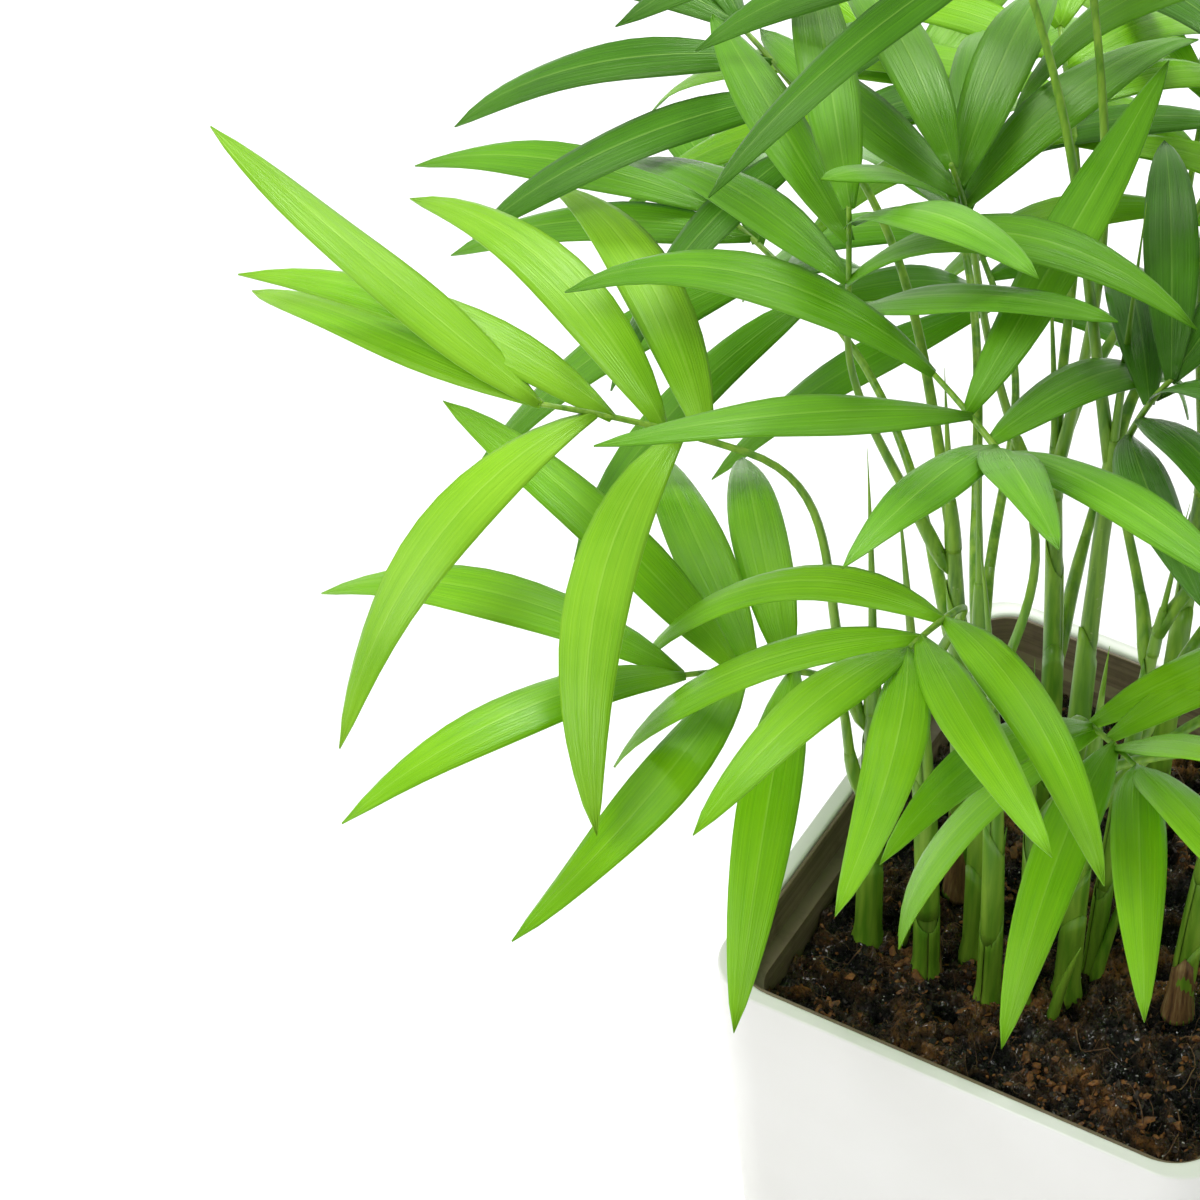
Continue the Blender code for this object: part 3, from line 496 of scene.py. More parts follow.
def leafletShape(leaflet, grown=0.0):
    line = arcPoints(
        leaflet["start"], leaflet["heading"], leaflet["rise"], leaflet["length"],
        leaflet["sag"], leaflet["swerve"], leafShape["stations"] + (1.0,))
    half = leaflet["width"] / 2
    firstUp = direction(leaflet["heading"], leaflet["rise"] + 90)
    roll = math.radians(leaflet["roll"])
    rings = []
    frames = carriedFrames(line, firstUp)
    for (point, side, up), width, ridge in zip(frames, leafShape["widths"], leafShape["ridges"]):
        across = math.cos(roll) * side + math.sin(roll) * up
        out = math.cos(roll) * up - math.sin(roll) * side
        reach = half * width + grown
        rings.append([
            point - reach * across - grown * out,
            point + reach * across - grown * out,
            point + (leafShape["ridge"] * ridge + grown) * out,
        ])
    return joinRings(rings, line[-1])


def roundedRing(inset, level):
    halfX = pot["halfX"] - inset
    halfY = pot["halfY"] - inset
    radius = pot["corner"] - pot["tightens"] * inset
    ring = []
    for corner, (sideX, sideY) in enumerate(((1, 1), (-1, 1), (-1, -1), (1, -1))):
        for step in range(pot["cornerSteps"] + 1):
            angle = math.pi / 2 * (corner + step / pot["cornerSteps"])
            ring.append(Vector((
                sideX * (halfX - radius) + radius * math.cos(angle),
                sideY * (halfY - radius) + radius * math.sin(angle),
                level,
            )))
    return ring


def potInset(level):
    return pot["taper"] * (pot["height"] - level) / pot["height"]


def linerInnerInset(level):
    return potInset(level) + tinyGap + pot["linerWall"] + pot["linerLedge"]


def planterProfile():
    wall = pot["wall"]
    return [
        (potInset(0) - wall + pot["footRound"], 0.0),
        (potInset(pot["footRound"]) - wall, pot["footRound"]),
        (-wall, pot["height"] - pot["rimRound"]),
        (pot["rimRound"] - wall, pot["height"]),
        (-pot["rimRound"], pot["height"]),
        (0.0, pot["height"] - pot["rimRound"]),
        (potInset(pot["floor"]), pot["floor"]),
    ]


def linerProfile():
    top = pot["height"] - pot["linerDrop"]
    ledge = top - pot["linerBand"]
    floor = pot["floor"] + tinyGap
    under = ledge - pot["linerWall"]
    return [
        (potInset(floor) + tinyGap + pot["linerLedge"], floor),
        (potInset(under) + tinyGap + pot["linerLedge"], under),
        (potInset(under) + tinyGap, under),
        (potInset(top) + tinyGap, top),
        (potInset(top) + tinyGap + pot["linerWall"], top),
        (potInset(ledge) + tinyGap + pot["linerWall"], ledge),
        (linerInnerInset(ledge), ledge),
        (linerInnerInset(floor + pot["linerFloor"]), floor + pot["linerFloor"]),
    ]


def soilProfile():
    floor = pot["floor"] + tinyGap + pot["linerFloor"] + tinyGap
    shoulder = pot["soil"] - pot["soilRound"]
    return [
        (linerInnerInset(floor) + tinyGap, floor),
        (linerInnerInset(shoulder) + tinyGap, shoulder),
        (linerInnerInset(pot["soil"]) + tinyGap + pot["soilRound"], pot["soil"]),
    ]


def caneLine(name):
    footX, footY, height, radius, lean, heading = canes[name]
    foot = Vector((footX, footY, pot["soil"] + tinyGap))
    knee = foot + Vector((0, 0, caneShape["flareHeight"]))
    steps = caneShape["steps"]
    shares = [step / (steps - 1) for step in range(steps)]
    upper = arcPoints(knee, heading, 90 - lean / 3, height - caneShape["flareHeight"], lean, 0, shares)
    radii = [radius * caneShape["flare"]]
    radii += [radius * (1 - (1 - caneShape["tipShare"]) * share) for share in shares]
    return [foot] + upper, radii


def placeOnCane(line, share):
    points, radii = line
    along = share * (len(points) - 1)
    index = min(int(along), len(points) - 2)
    part = along - index
    point = points[index].lerp(points[index + 1], part)
    radius = radii[index] * (1 - part) + radii[index + 1] * part
    return point, radius, (points[index + 1] - points[index]).normalized()


def treeOf(shape):
    corners, faces = shape
    return BVHTree.FromPolygons([tuple(corner) for corner in corners], faces)


def boxOf(shape):
    corners = shape[0]
    low = [min(corner[axis] for corner in corners) for axis in range(3)]
    high = [max(corner[axis] for corner in corners) for axis in range(3)]
    return low, high


class Space:
    # what is already placed, so that nothing new touches it
    def __init__(self):
        self.taken = []

    def add(self, owner, shape):
        self.taken.append((owner, boxOf(shape), treeOf(shape)))

    def isFree(self, owners, shape):
        low, high = boxOf(shape)
        tree = None
        for other, (otherLow, otherHigh), otherTree in self.taken:
            if other in owners:
                continue
            if any(low[axis] > otherHigh[axis] or high[axis] < otherLow[axis] for axis in range(3)):
                continue
            tree = tree or treeOf(shape)
            if tree.overlap(otherTree):
                return False
        return True


def inCrown(shape):
    overPot = crown["overPot"]
    for corner in shape[0]:
        if math.hypot(corner[0], corner[1]) > crown["radius"] or corner[2] > crown["top"]:
            return False
        besidePot = (abs(corner[0]) > pot["halfX"] + pot["wall"] + overPot
                     or abs(corner[1]) > pot["halfY"] + pot["wall"] + overPot)
        if corner[2] < pot["height"] + overPot and not besidePot:
            inside = (abs(corner[0]) < pot["halfX"] - pot["linerLedge"] - overPot
                      and abs(corner[1]) < pot["halfY"] - pot["linerLedge"] - overPot)
            if not inside or corner[2] < pot["soil"] + overPot:
                return False
    return True


def spineLines(root, rootWay, base, heading, rise, ribLength, curl):
    way = direction(heading, rise)
    span = (base - root).length
    ends = (root, root + curl * span * rootWay, base - spine["bladeCurl"] * span * way, base)

    def rib(steps):
        shares = [(step + 1) / steps for step in range(steps)]
        return arcPoints(base, heading, rise, ribLength, spine["ribSag"], 0, shares)
    return {
        "petiole": bezierPoints(*ends, spine["petioleSteps"]), "rib": rib(spine["ribSteps"]),
        "fine": bezierPoints(*ends, spine["finePetiole"]) + rib(spine["fineRib"]),
    }


def spineShape(frond, grown=0.0):
    radii = []
    for step in range(spine["petioleSteps"] + 1):
        radii.append(spine["foot"] + (spine["blade"] - spine["foot"]) * step / spine["petioleSteps"])
    for step in range(spine["ribSteps"]):
        radii.append(spine["blade"] + (spine["tip"] - spine["blade"]) * (step + 1) / spine["ribSteps"])
    return tubeShape(frond["petiole"] + frond["rib"], radii, frond["inward"], grown)


def isClear(frond, space):
    wide = spineShape(frond, crown["clearance"])
    if not space.isFree((frond["node"], frond["cane"]), wide):
        return False
    return space.isFree((frond["node"],), spineShape(frond, tinyGap / 3))


def sideRoot(line, share, heading):
    point, radius, way = placeOnCane(line, share)
    outward = direction(heading, 0)
    outward = (outward - outward.dot(way) * way).normalized()
    root = point + (spine["rootRest"] * radius + spine["foot"] + tinyGap) * outward
    leaving = (way + spine["rootSplay"] * outward).normalized()
    return root, leaving, -outward


def sheathOf(line):
    points, radii = line
    way = (points[-1] - points[-2]).normalized()
    return points[-1] + tinyGap * way, way, radii[-1]


def sheathShape(line, grown=0.0):
    start, way, radius = sheathOf(line)
    ends = [start, start + spine["sheath"] * way]
    radii = (radius * spine["sheathFoot"], radius * spine["sheathTip"])
    return tubeShape(ends, radii, direction(0, 0), grown, 6)


def planPosed(lines, space):
    fronds = []
    for name, (cane, share, base, heading, rise, ribLength, *leaflets) in posedFronds.items():
        base = Vector(base)
        toward, _ = headingAndRise(base - placeOnCane(lines[cane], share)[0])
        frond = {"node": name, "cane": cane, "base": base}
        for turned in crown["posedTurns"]:
            root, leaving, inward = sideRoot(lines[cane], share, toward + turned)
            for curl in crown["posedCurls"]:
                frond.update(spineLines(root, leaving, base, heading, rise, ribLength, curl))
                frond["inward"] = inward
                if isClear(frond, space):
                    break
            else:
                continue
            break
        space.add(name, spineShape(frond))
        frond["leaflets"] = [
            {
                "along": along, "heading": to, "rise": up, "length": long / 1000, "sag": sag,
                "swerve": swerve, "roll": 0, "width": long / 1000 * leafShape["widthShare"],
            }
            for along, to, up, long, sag, swerve in leaflets
        ]
        fronds.append(frond)
    return fronds


def domeDirections():
    for index in range(crown["points"]):
        share = (index + 0.5) / crown["points"]
        lowest = math.sin(math.radians(crown["lowest"]))
        climb = math.degrees(math.asin(lowest + (1 - lowest) * (1 - share)))
        yield index, (index * crown["golden"]) % 360, climb


def chooseCane(base, topFrond, lines, loads):
    def effort(name):
        tip = lines[name][0][-1]
        flat = math.hypot(base.x - tip.x, base.y - tip.y)
        over = abs(base.z - tip.z - crown["topPetiole" if topFrond else "sidePetiole"])
        return flat + crown["loadEffort"] * loads[name] + crown["heightEffort"] * over
    names = [name for name in lines if loads[name] < crown["perCane"]]
    return min(names, key=effort) if names else None


def fanOfLeaflets(heading, rise, size, chance):
    forward = direction(heading, rise)
    side = direction(heading + 90, 0)
    over = forward.cross(side)
    pairs = chance.randint(crown["pairsLeast"], crown["pairsMost"])
    leaflets = []
    for pair in range(pairs):
        share = pair / (pairs - 1)
        for hand in (1, -1):
            along = 0.06 + 0.94 * share - (crown["pairStagger"] if hand < 0 and pair < pairs - 1 else 0)
            spread = crown["spreadFoot"] + (crown["spreadTip"] - crown["spreadFoot"]) * share
            spread = math.radians(spread + chance.uniform(-crown["spreadWander"], crown["spreadWander"]))
            lift = math.radians(chance.uniform(*crown["lifts"]))
            way = (math.cos(spread) * forward + math.sin(spread) * hand * side - math.sin(lift) * over)
            to, up = headingAndRise(way)
            long = size * crown["leaflet"] * (0.86 + 0.14 * math.sin(math.pi * (0.25 + 0.6 * share)))
            long *= chance.uniform(*crown["lengths"])
            leaflets.append({
                "along": max(along, 0.02), "heading": to, "rise": up, "length": long,
                "sag": chance.uniform(*crown["sags"]), "swerve": hand * chance.uniform(*crown["swerves"]),
                "roll": hand * chance.uniform(*crown["rolls"]),
                "width": long * leafShape["widthShare"] * chance.uniform(*crown["widths"]),
            })
    return leaflets


def findWay(node, cane, line, onSheath, base, heading, rise, size, space, load):
    for moved in crown["domeTurns"]:
        turn = math.radians(moved)
        shifted = Vector((
            base.x * math.cos(turn) - base.y * math.sin(turn),
            base.x * math.sin(turn) + base.y * math.cos(turn), base.z))
        if onSheath:
            start, way, _ = sheathOf(line)
            outward = shifted - start
            outward = (outward - outward.dot(way) * way).normalized()
            root = start + spine["sheathSink"] * way
            splay = math.radians(spine["splay"])
            leaving = math.cos(splay) * way + math.sin(splay) * outward
            inward = -outward
        else:
            toward, _ = headingAndRise(shifted - line[0][-1])
            share = crown["sideRoot"] - crown["sideRootStep"] * load
            root, leaving, inward = sideRoot(line, share, toward)
        for curl in crown["domeCurls"]:
            frond = spineLines(root, leaving, shifted, heading + moved, rise, crown["rib"] * size, curl)
            frond.update(node=node, cane=cane, base=shifted, heading=heading + moved, inward=inward)
            if isClear(frond, space):
                return frond
    return None


def planDome(lines, space, posed):
    chance = random.Random(crown["seed"])
    loads = {name: sum(1 for frond in posed if frond["cane"] == name) for name in lines}
    tops = {name: 0 for name in lines}
    fronds = []
    for index, heading, climb in domeDirections():
        size = chance.uniform(*crown["sizes"])
        reach = chance.uniform(*crown["reaches"])
        heading += chance.uniform(-crown["headingWander"], crown["headingWander"])
        fan = chance.randint(0, 9999)
        flat = crown["reachSide"] * math.cos(math.radians(climb)) * reach
        base = Vector(crown["middle"]) + Vector((
            flat * math.cos(math.radians(heading)), flat * math.sin(math.radians(heading)),
            crown["reachTop"] * math.sin(math.radians(climb)) * reach))
        if any((base - frond["base"]).length < crown["posedKeep"] for frond in posed):
            continue
        fromFront = abs((heading - crown["frontHeading"] + 180) % 360 - 180)
        if climb < crown["frontLowest"] and fromFront < crown["frontHalf"]:
            continue
        topFrond = climb > crown["topClimb"]
        cane = chooseCane(base, topFrond, lines, loads)
        if cane is None:
            break
        rise = crown["riseBase"] + crown["riseShare"] * climb
        rise += chance.uniform(-crown["riseWander"], crown["riseWander"])
        onSheath = topFrond and tops[cane] < crown["topPerCane"]
        node = "top_fronds_of_" + cane if onSheath else "frond_%02d" % (index + 1)
        frond = findWay(node, cane, lines[cane], onSheath, base, heading, rise, size, space, loads[cane])
        if frond is None:
            continue
        frond["leaflets"] = fanOfLeaflets(frond["heading"], rise, size, random.Random(fan))
        frond["climb"] = climb
        loads[cane] += 1
        tops[cane] += 1 if onSheath else 0
        space.add(node, spineShape(frond))
        fronds.append(frond)
    return fronds


def settleLeaflets(fronds, space):
    steps = spine["ribSteps"]
    for frond in fronds:
        rib = [frond["base"]] + frond["rib"]
        kept = []
        for leaflet in frond["leaflets"]:
            along = min(leaflet["along"], 0.985) * steps
            index = min(int(along), steps - 1)
            leaflet["start"] = rib[index].lerp(rib[index + 1], along - index)
            heading, rise = leaflet["heading"], leaflet["rise"]
            for aside, lift in crown["nudges"]:
                leaflet["heading"] = heading + aside
                leaflet["rise"] = rise + lift
                grown = leafletShape(leaflet, crown["clearance"])
                if inCrown(grown) and space.isFree((frond["node"],), grown):
                    space.add(frond["node"], leafletShape(leaflet))
                    kept.append(leaflet)
                    break
        frond["leaflets"] = kept


def planCrown(lines):
    space = Space()
    for name, (points, radii) in lines.items():
        space.add(name, tubeShape(points, radii, direction(0, 0), 0.0, 8))
    for profile in (planterProfile(), linerProfile(), soilProfile()):
        space.add("pot", joinRings([roundedRing(inset, level) for inset, level in profile]))
    for name, line in lines.items():
        space.add("top_fronds_of_" + name, sheathShape(line, crown["clearance"]))
    posed = planPosed(lines, space)
    settleLeaflets(posed, space)
    others = planDome(lines, space, posed)
    settleLeaflets(others, space)
    return posed + others


# Meshes

class Heap:
    # corners and faces of many small things, joined into one piece
    def __init__(self):
        self.corners = []
        self.faces = []
        self.flats = []

    def add(self, corners, faces, flats=None):
        first = len(self.corners)
        self.corners += [tuple(corner) for corner in corners]
        self.faces += [tuple(first + index for index in face) for face in faces]
        self.flats += flats or [(0.0, 0.0)] * len(corners)

    def piece(self, name, look, slot, nodes=(), smooth=180):
        mesh = bpy.data.meshes.new(name)
        mesh.from_pydata(self.corners, [], self.faces)
        layer = mesh.uv_layers.new(name="UVMap")
        for loop in mesh.loops:
            layer.data[loop.index].uv = self.flats[loop.vertex_index]
        mesh.materials.append(look)
        mesh.shade_smooth()
        if smooth < 180:
            mesh.set_sharp_from_angle(angle=math.radians(smooth))
        item = bpy.data.objects.new(name, mesh)
        bpy.context.scene.collection.objects.link(item)
        work = bmesh.new()
        work.from_mesh(mesh)
        bmesh.ops.recalc_face_normals(work, faces=work.faces[:])
        work.to_mesh(mesh)
        work.free()
        return finishPiece(item, nodes)


def finishPiece(item, nodes=()):
    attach(item, "root")
    if nodes:
        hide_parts(*nodes)
    return item


blade = {
    "lengthSteps": 15, "widthSteps": 8, "thickness": 0.0004, "ridge": 0.0015, "pleat": 0.00022,
    "wave": 0.0010, "twist": 12, "widest": 0.82, "fullness": 0.72,
}


def bladeWidth(share):
    root = 0.20 * max(1 - 6 * share, 0)
    return max(root, math.sin(math.pi * share ** blade["widest"]) ** blade["fullness"])


def fineLeaflet(heap, leaflet, chance):
    steps, columns = blade["lengthSteps"], blade["widthSteps"]
    shares = [step / steps for step in range(steps + 1)]
    line = arcPoints(
        leaflet["start"], leaflet["heading"], leaflet["rise"], leaflet["length"],
        leaflet["sag"], leaflet["swerve"], shares, steps * 2)
    frames = carriedFrames(line, direction(leaflet["heading"], leaflet["rise"] + 90))
    twist = math.radians(chance.uniform(-blade["twist"], blade["twist"]))
    phase = chance.uniform(0, 2 * math.pi)
    half = leaflet["width"] / 2
    top, under, flats = [], [], []
    for share, (point, side, up) in zip(shares, frames):
        roll = math.radians(leaflet["roll"]) + twist * share ** 2
        across = math.cos(roll) * side + math.sin(roll) * up
        out = math.cos(roll) * up - math.sin(roll) * side
        reach = half * (bladeWidth(share) if share < 1 else 0.012)
        fold = blade["ridge"] * min(1, 6 * (1 - share) + 0.1)
        for column in range(columns + 1):
            wide = 2 * column / columns - 1
            lift = fold * (1 - abs(wide) ** 1.2)
            lift += blade["pleat"] * (1 if column % 2 else -1) * (0 < column < columns) * min(1, 4 * share)
            lift += blade["wave"] * wide ** 2 * math.sin(9 * share + phase + wide) * (reach / half)
            spot = point + reach * wide * across + lift * out
            top.append(spot)
            under.append(spot - blade["thickness"] * out)
            flats.append((share, column / columns))
    row = columns + 1
    count = len(top)
    faces = []
    for step in range(steps):
        for column in range(columns):
            a = step * row + column
            faces.append((a, a + 1, a + row + 1, a + row))
            faces.append((count + a, count + a + row, count + a + row + 1, count + a + 1))
        for edge, flip in ((0, 1), (columns, 0)):
            a = step * row + edge
            quad = (a, a + row, count + a + row, count + a)
            faces.append(tuple(reversed(quad)) if flip else quad)
    for step, flip in ((0, 0), (steps, 1)):
        for column in range(columns):
            a = step * row + column
            quad = (a, count + a, count + a + 1, a + 1)
            faces.append(tuple(reversed(quad)) if flip else quad)
    heap.add(top + under, faces, flats + flats)


def toneOf(frond, chance):
    posedTones = {
        "frond_far_left": "Light", "frond_low_left": "Bright", "frond_front_left": "Bright",
        "frond_front": "Bright", "frond_high_front": "Mid", "frond_upright_left": "Mid",
        "frond_upright_back": "Mid", "frond_middle": "Deep",
    }
    if frond["node"] in posedTones:
        return posedTones[frond["node"]]
    draw = chance.random()
    if frond["climb"] < 25:
        return "Yellow" if draw < 0.10 else "Light" if draw < 0.30 else "Bright" if draw < 0.65 else "Mid"
    return "Bright" if draw < 0.08 else "Mid" if draw < 0.50 else "Deep"


def addFronds(fronds):
    chance = random.Random(21)
    heaps = {}
    nodes = {}
    for frond in fronds:
        tone = toneOf(frond, chance)
        heap = heaps.setdefault(tone, Heap())
        nodes.setdefault(tone, set()).add(frond["node"])
        for leaflet in frond["leaflets"]:
            fineLeaflet(heap, leaflet, chance)
    for tone, heap in sorted(heaps.items()):
        heap.piece("leaflets" + tone, leafFinish(tone), "frond", sorted(nodes[tone]))


stalk = {"sides": 9, "thickness": 0.80, "groove": 0.82, "swell": 1.25}


def addStalks(fronds):
    heap = Heap()
    for frond in fronds:
        line = frond["fine"]
        frames = carriedFrames(line, frond["inward"])
        rings, flats = [], []
        for index, (point, side, up) in enumerate(frames):
            share = index / (len(line) - 1)
            radius = spine["foot"] + (spine["tip"] - spine["foot"]) * share ** 0.8
            radius *= stalk["thickness"] * (1 + (stalk["swell"] - 1) * max(0, 1 - 9 * share))
            ring = []
            for corner in range(stalk["sides"]):
                angle = 2 * math.pi * corner / stalk["sides"]
                reach = radius * (stalk["groove"] if corner == 0 else 1)
                ring.append(point + reach * (math.cos(angle) * up + math.sin(angle) * side))
                flats.append((share * 8, corner / stalk["sides"]))
            rings.append(ring)
        corners, faces = joinRings(rings)
        heap.add(corners, faces, flats)
    return heap.piece("stalks", stalkFinish(), "frond", sorted({frond["node"] for frond in fronds}))


caneLook = {"sides": 14, "rows": 72, "ringEvery": 0.030, "ringSwell": 0.045, "ripple": 0.05}


def addCanes(lines):
    look = caneFinish()
    for number, (name, line) in enumerate(lines.items()):
        chance = random.Random(40 + number)
        rows = caneLook["rows"]
        fine = [placeOnCane(line, row / rows)[:2] for row in range(rows + 1)]
        spacing = caneLook["ringEvery"] * chance.uniform(0.8, 1.2)
        start = chance.uniform(0, spacing)
        frames = carriedFrames([point for point, _ in fine], direction(0, 0))
        rings = []
        for row, (point, side, up) in enumerate(frames):
            radius = fine[row][1]
            walked = (point - fine[0][0]).length + start
            off = abs((walked / spacing) % 1 - 0.5) * 2
            swell = 1 + caneLook["ringSwell"] * max(0, 1 - (1 - off) * 7)
            ring = []
            for corner in range(caneLook["sides"]):
                angle = 2 * math.pi * corner / caneLook["sides"]
                where = Vector((math.cos(angle), math.sin(angle), walked * 90))
                reach = radius * (swell + caneLook["ripple"] * noise.noise(where) - 0.02)
                ring.append(point + reach * (math.cos(angle) * up + math.sin(angle) * side))
            rings.append(ring)
        for corner in rings[0]:  # the flat cut on the soil
            corner.z = line[0][0].z
        heap = Heap()
        heap.add(*joinRings(rings))
        heap.piece("stem_" + name[5:], look, "cane", [name])


husk = {"sides": 16, "rows": 9, "thickness": 0.00030, "slant": 0.011}


def addWrap(heap, line, low, high, out, chance, ragged, slant):
    # a thin sleeve that clasps a cane, higher on one side, with a slit down the other
    sides = husk["sides"]
    turned = chance.uniform(0, 2 * math.pi)
    rings = []
    for row in range(husk["rows"] + 1):
        part = row / husk["rows"]
        point, radius, way = placeOnCane(line, max(min(low + (high - low) * part, 1.0), 0.0))
        up = direction(0, 0)
        up = (up - up.dot(way) * way).normalized()
        side = way.cross(up)
        outer, inner = [], []
        for corner in range(sides + 1):
            angle = turned + (2 * math.pi - 0.12) * corner / sides
            reach = radius + out * (0.35 + 0.65 * part) + husk["thickness"] * (1 + 0.8 * corner / sides)
            shift = slant * part ** 2 * math.cos(angle - turned - math.pi)
            shift += ragged * part ** 4 * noise.noise(Vector((corner * 1.3, turned, 3.1)))
            spot = point + shift * way
            flat = math.cos(angle) * up + math.sin(angle) * side
            outer.append(spot + reach * flat)
            inner.append(spot + (reach - husk["thickness"]) * flat)
        rings.append(outer + inner[::-1])
    heap.add(*joinRings(rings))


def addSheaths(lines, fronds):
    green, dry = Heap(), Heap()
    chance = random.Random(77)
    for name, line in lines.items():
        slant = husk["slant"]
        low = 0.0
        for level in range(3):
            high = low + chance.uniform(0.24, 0.38)
            addWrap(green, line, low, min(high, 0.93), 0.0004 - 0.0001 * level, chance, 0.001, slant)
            low = high - chance.uniform(0.02, 0.08)
        if chance.random() < 0.35:
            addWrap(dry, line, 0.0, chance.uniform(0.12, 0.22), 0.0004, chance, 0.012, 0.018)
        start, way, radius = sheathOf(line)
        up = direction(0, 0)
        steps = 10
        points = [start + way * (spine["sheath"] * 1.5 * step / steps - 0.006) for step in range(steps + 1)]
        radii = [radius * (1.12 - 0.42 * (step / steps) ** 2) for step in range(steps + 1)]
        green.add(*tubeShape(points, radii, up, 0.0, 12))
    for frond in fronds:  # a clasping foot under each side frond
        if frond["node"].startswith("top_"):
            continue
        line = frond["fine"][:5]
        down = (line[0] - line[1]).normalized()
        points = [line[0] + down * 0.014 + frond["inward"] * 0.0015, line[0] + down * 0.006] + line
        radii = [0.0008, 0.0026, 0.0030, 0.0030, 0.0028, 0.0026, 0.0021]
        green.add(*tubeShape(points, radii, frond["inward"], 0.0, 10))
    green.piece("greenSheaths", stalkFinish(), "cane")
    dry.piece("driedSheaths", driedFinish(), "cane")


shootLook = {"count": 9, "least": 0.035, "most": 0.080, "radius": 0.0026}


def addShoots(lines):
    heap = Heap()
    chance = random.Random(91)
    names = list(lines)
    for number in range(shootLook["count"]):
        footX, footY = canes[names[(number * 5) % len(names)]][:2]
        turn = chance.uniform(0, 360)
        foot = Vector((footX, footY, pot["soil"] - 0.004)) + 0.013 * direction(turn, 0)
        tall = chance.uniform(shootLook["least"], shootLook["most"])
        shares = [step / 9 for step in range(10)]
        points = arcPoints(foot, turn, 84, tall, chance.uniform(-6, 22), 0, shares, 36)
        radii = [shootLook["radius"] * max(1 - share ** 2, 0.06) for share in shares]
        heap.add(*tubeShape(points, radii, direction(turn, 0), 0.0, 8))
    for name, line in lines.items():  # the unopened leaf in the middle of each cane's top
        start, way, radius = sheathOf(line)
        long = chance.uniform(0.07, 0.13)
        shares = [step / 11 for step in range(12)]
        heading, rise = headingAndRise(way)
        points = arcPoints(start, heading, rise, long, chance.uniform(-4, 8), 0, shares, 44)
        radii = [radius * 0.62 * max(1 - share ** 1.6, 0.05) for share in shares]
        heap.add(*tubeShape(points, radii, direction(0, 0), 0.0, 8))
    heap.piece("shoots", stalkFinish(), "cane")


# Planter, liner and soil

def deselectAll():
    if bpy.context.object and bpy.context.object.mode != "OBJECT":
        bpy.ops.object.mode_set(mode="OBJECT")
    for item in bpy.context.selected_objects:
        item.select_set(False)


def growShell(name, profile, corner, segments):
    # a rounded plate is pulled up, in and down along a profile of insets and levels
    deselectAll()
    inset, level = profile[0]
    bpy.ops.mesh.primitive_plane_add(size=1, location=(0, 0, level))
    item = bpy.context.object
    item.name = name
    item.data.name = name
    halfX, halfY = pot["halfX"] - inset, pot["halfY"] - inset
    bpy.ops.object.mode_set(mode="EDIT")
    bpy.ops.mesh.select_all(action="SELECT")
    bpy.ops.transform.resize(value=(2 * halfX, 2 * halfY, 1))
    bpy.ops.mesh.bevel(offset=corner, segments=segments, profile=0.5, affect="VERTICES")
    bpy.ops.mesh.select_all(action="SELECT")
    for nextInset, nextLevel in profile[1:]:
        bpy.ops.mesh.extrude_region_move(TRANSFORM_OT_translate={"value": (0, 0, nextLevel - level)})
        nextX, nextY = pot["halfX"] - nextInset, pot["halfY"] - nextInset
        bpy.ops.transform.resize(value=(nextX / halfX, nextY / halfY, 1))
        halfX, halfY, level = nextX, nextY, nextLevel
    bpy.ops.mesh.select_all(action="SELECT")
    bpy.ops.mesh.remove_doubles(threshold=0.000001)
    bpy.ops.mesh.normals_make_consistent(inside=False)
    bpy.ops.object.mode_set(mode="OBJECT")
    bpy.ops.object.transform_apply(location=True, rotation=True, scale=True)
    return item


def roundEdges(item, width, segments, angle):
    item.select_set(True)
    bpy.context.view_layer.objects.active = item
    bevel = item.modifiers.new("edges", "BEVEL")
    bevel.width = width
    bevel.segments = segments
    bevel.limit_method = "ANGLE"
    bevel.angle_limit = math.radians(angle)
    bpy.ops.object.modifier_apply(modifier=bevel.name)
    bpy.ops.object.shade_smooth_by_angle(angle=math.radians(38))
    item.select_set(False)


planterLook = {"corner": 0.019, "segments": 14, "edge": 0.0012}


def addPlanter():
    wall = pot["wall"]
    profile = [
        (potInset(0) - wall + pot["footRound"], 0.0),
        (potInset(pot["footRound"]) - wall, pot["footRound"]),
        (-wall, pot["height"]),
        (0.0, pot["height"]),
        (potInset(pot["floor"]), pot["floor"]),
    ]
    item = growShell("planterShell", profile, planterLook["corner"], planterLook["segments"])
    item.data.materials.append(glazeFinish())
    roundEdges(item, planterLook["edge"], 3, 50)
    finishPiece(item, ["planter"])


linerLook = {"corner": 0.014, "segments": 12, "edge": 0.0006}


def addLiner():
    item = growShell("linerShell", linerProfile(), linerLook["corner"], linerLook["segments"])
    item.data.materials.append(linerFinish())
    roundEdges(item, linerLook["edge"], 2, 50)
    finishPiece(item, ["liner"])


bed = {"columns": 230, "rows": 264, "hills": 0.0050, "clods": 0.0110, "lumps": 0.0050, "crumbs": 0.0022,
       "deep": 0.030}


def soilHeight(x, y):
    spot = Vector((x, y, 0.0))
    bent = spot + 0.004 * noise.noise_vector(spot * 120)
    height = bed["hills"] * noise.noise(spot * 20)
    height += bed["clods"] * (0.55 - abs(noise.noise(bent * 55 + Vector((4, 0, 0)))) * 1.6)
    height += bed["lumps"] * (0.5 - abs(noise.noise(bent * 170 + Vector((9, 0, 0)))) * 1.4)
    height += bed["crumbs"] * noise.noise(spot * 480 + Vector((0, 7, 0)))
    return pot["soil"] - 0.0005 + height


def soilHalf(level):
    inset = linerInnerInset(level) + 0.0004
    return pot["halfX"] - inset, pot["halfY"] - inset, pot["corner"] - pot["tightens"] * inset


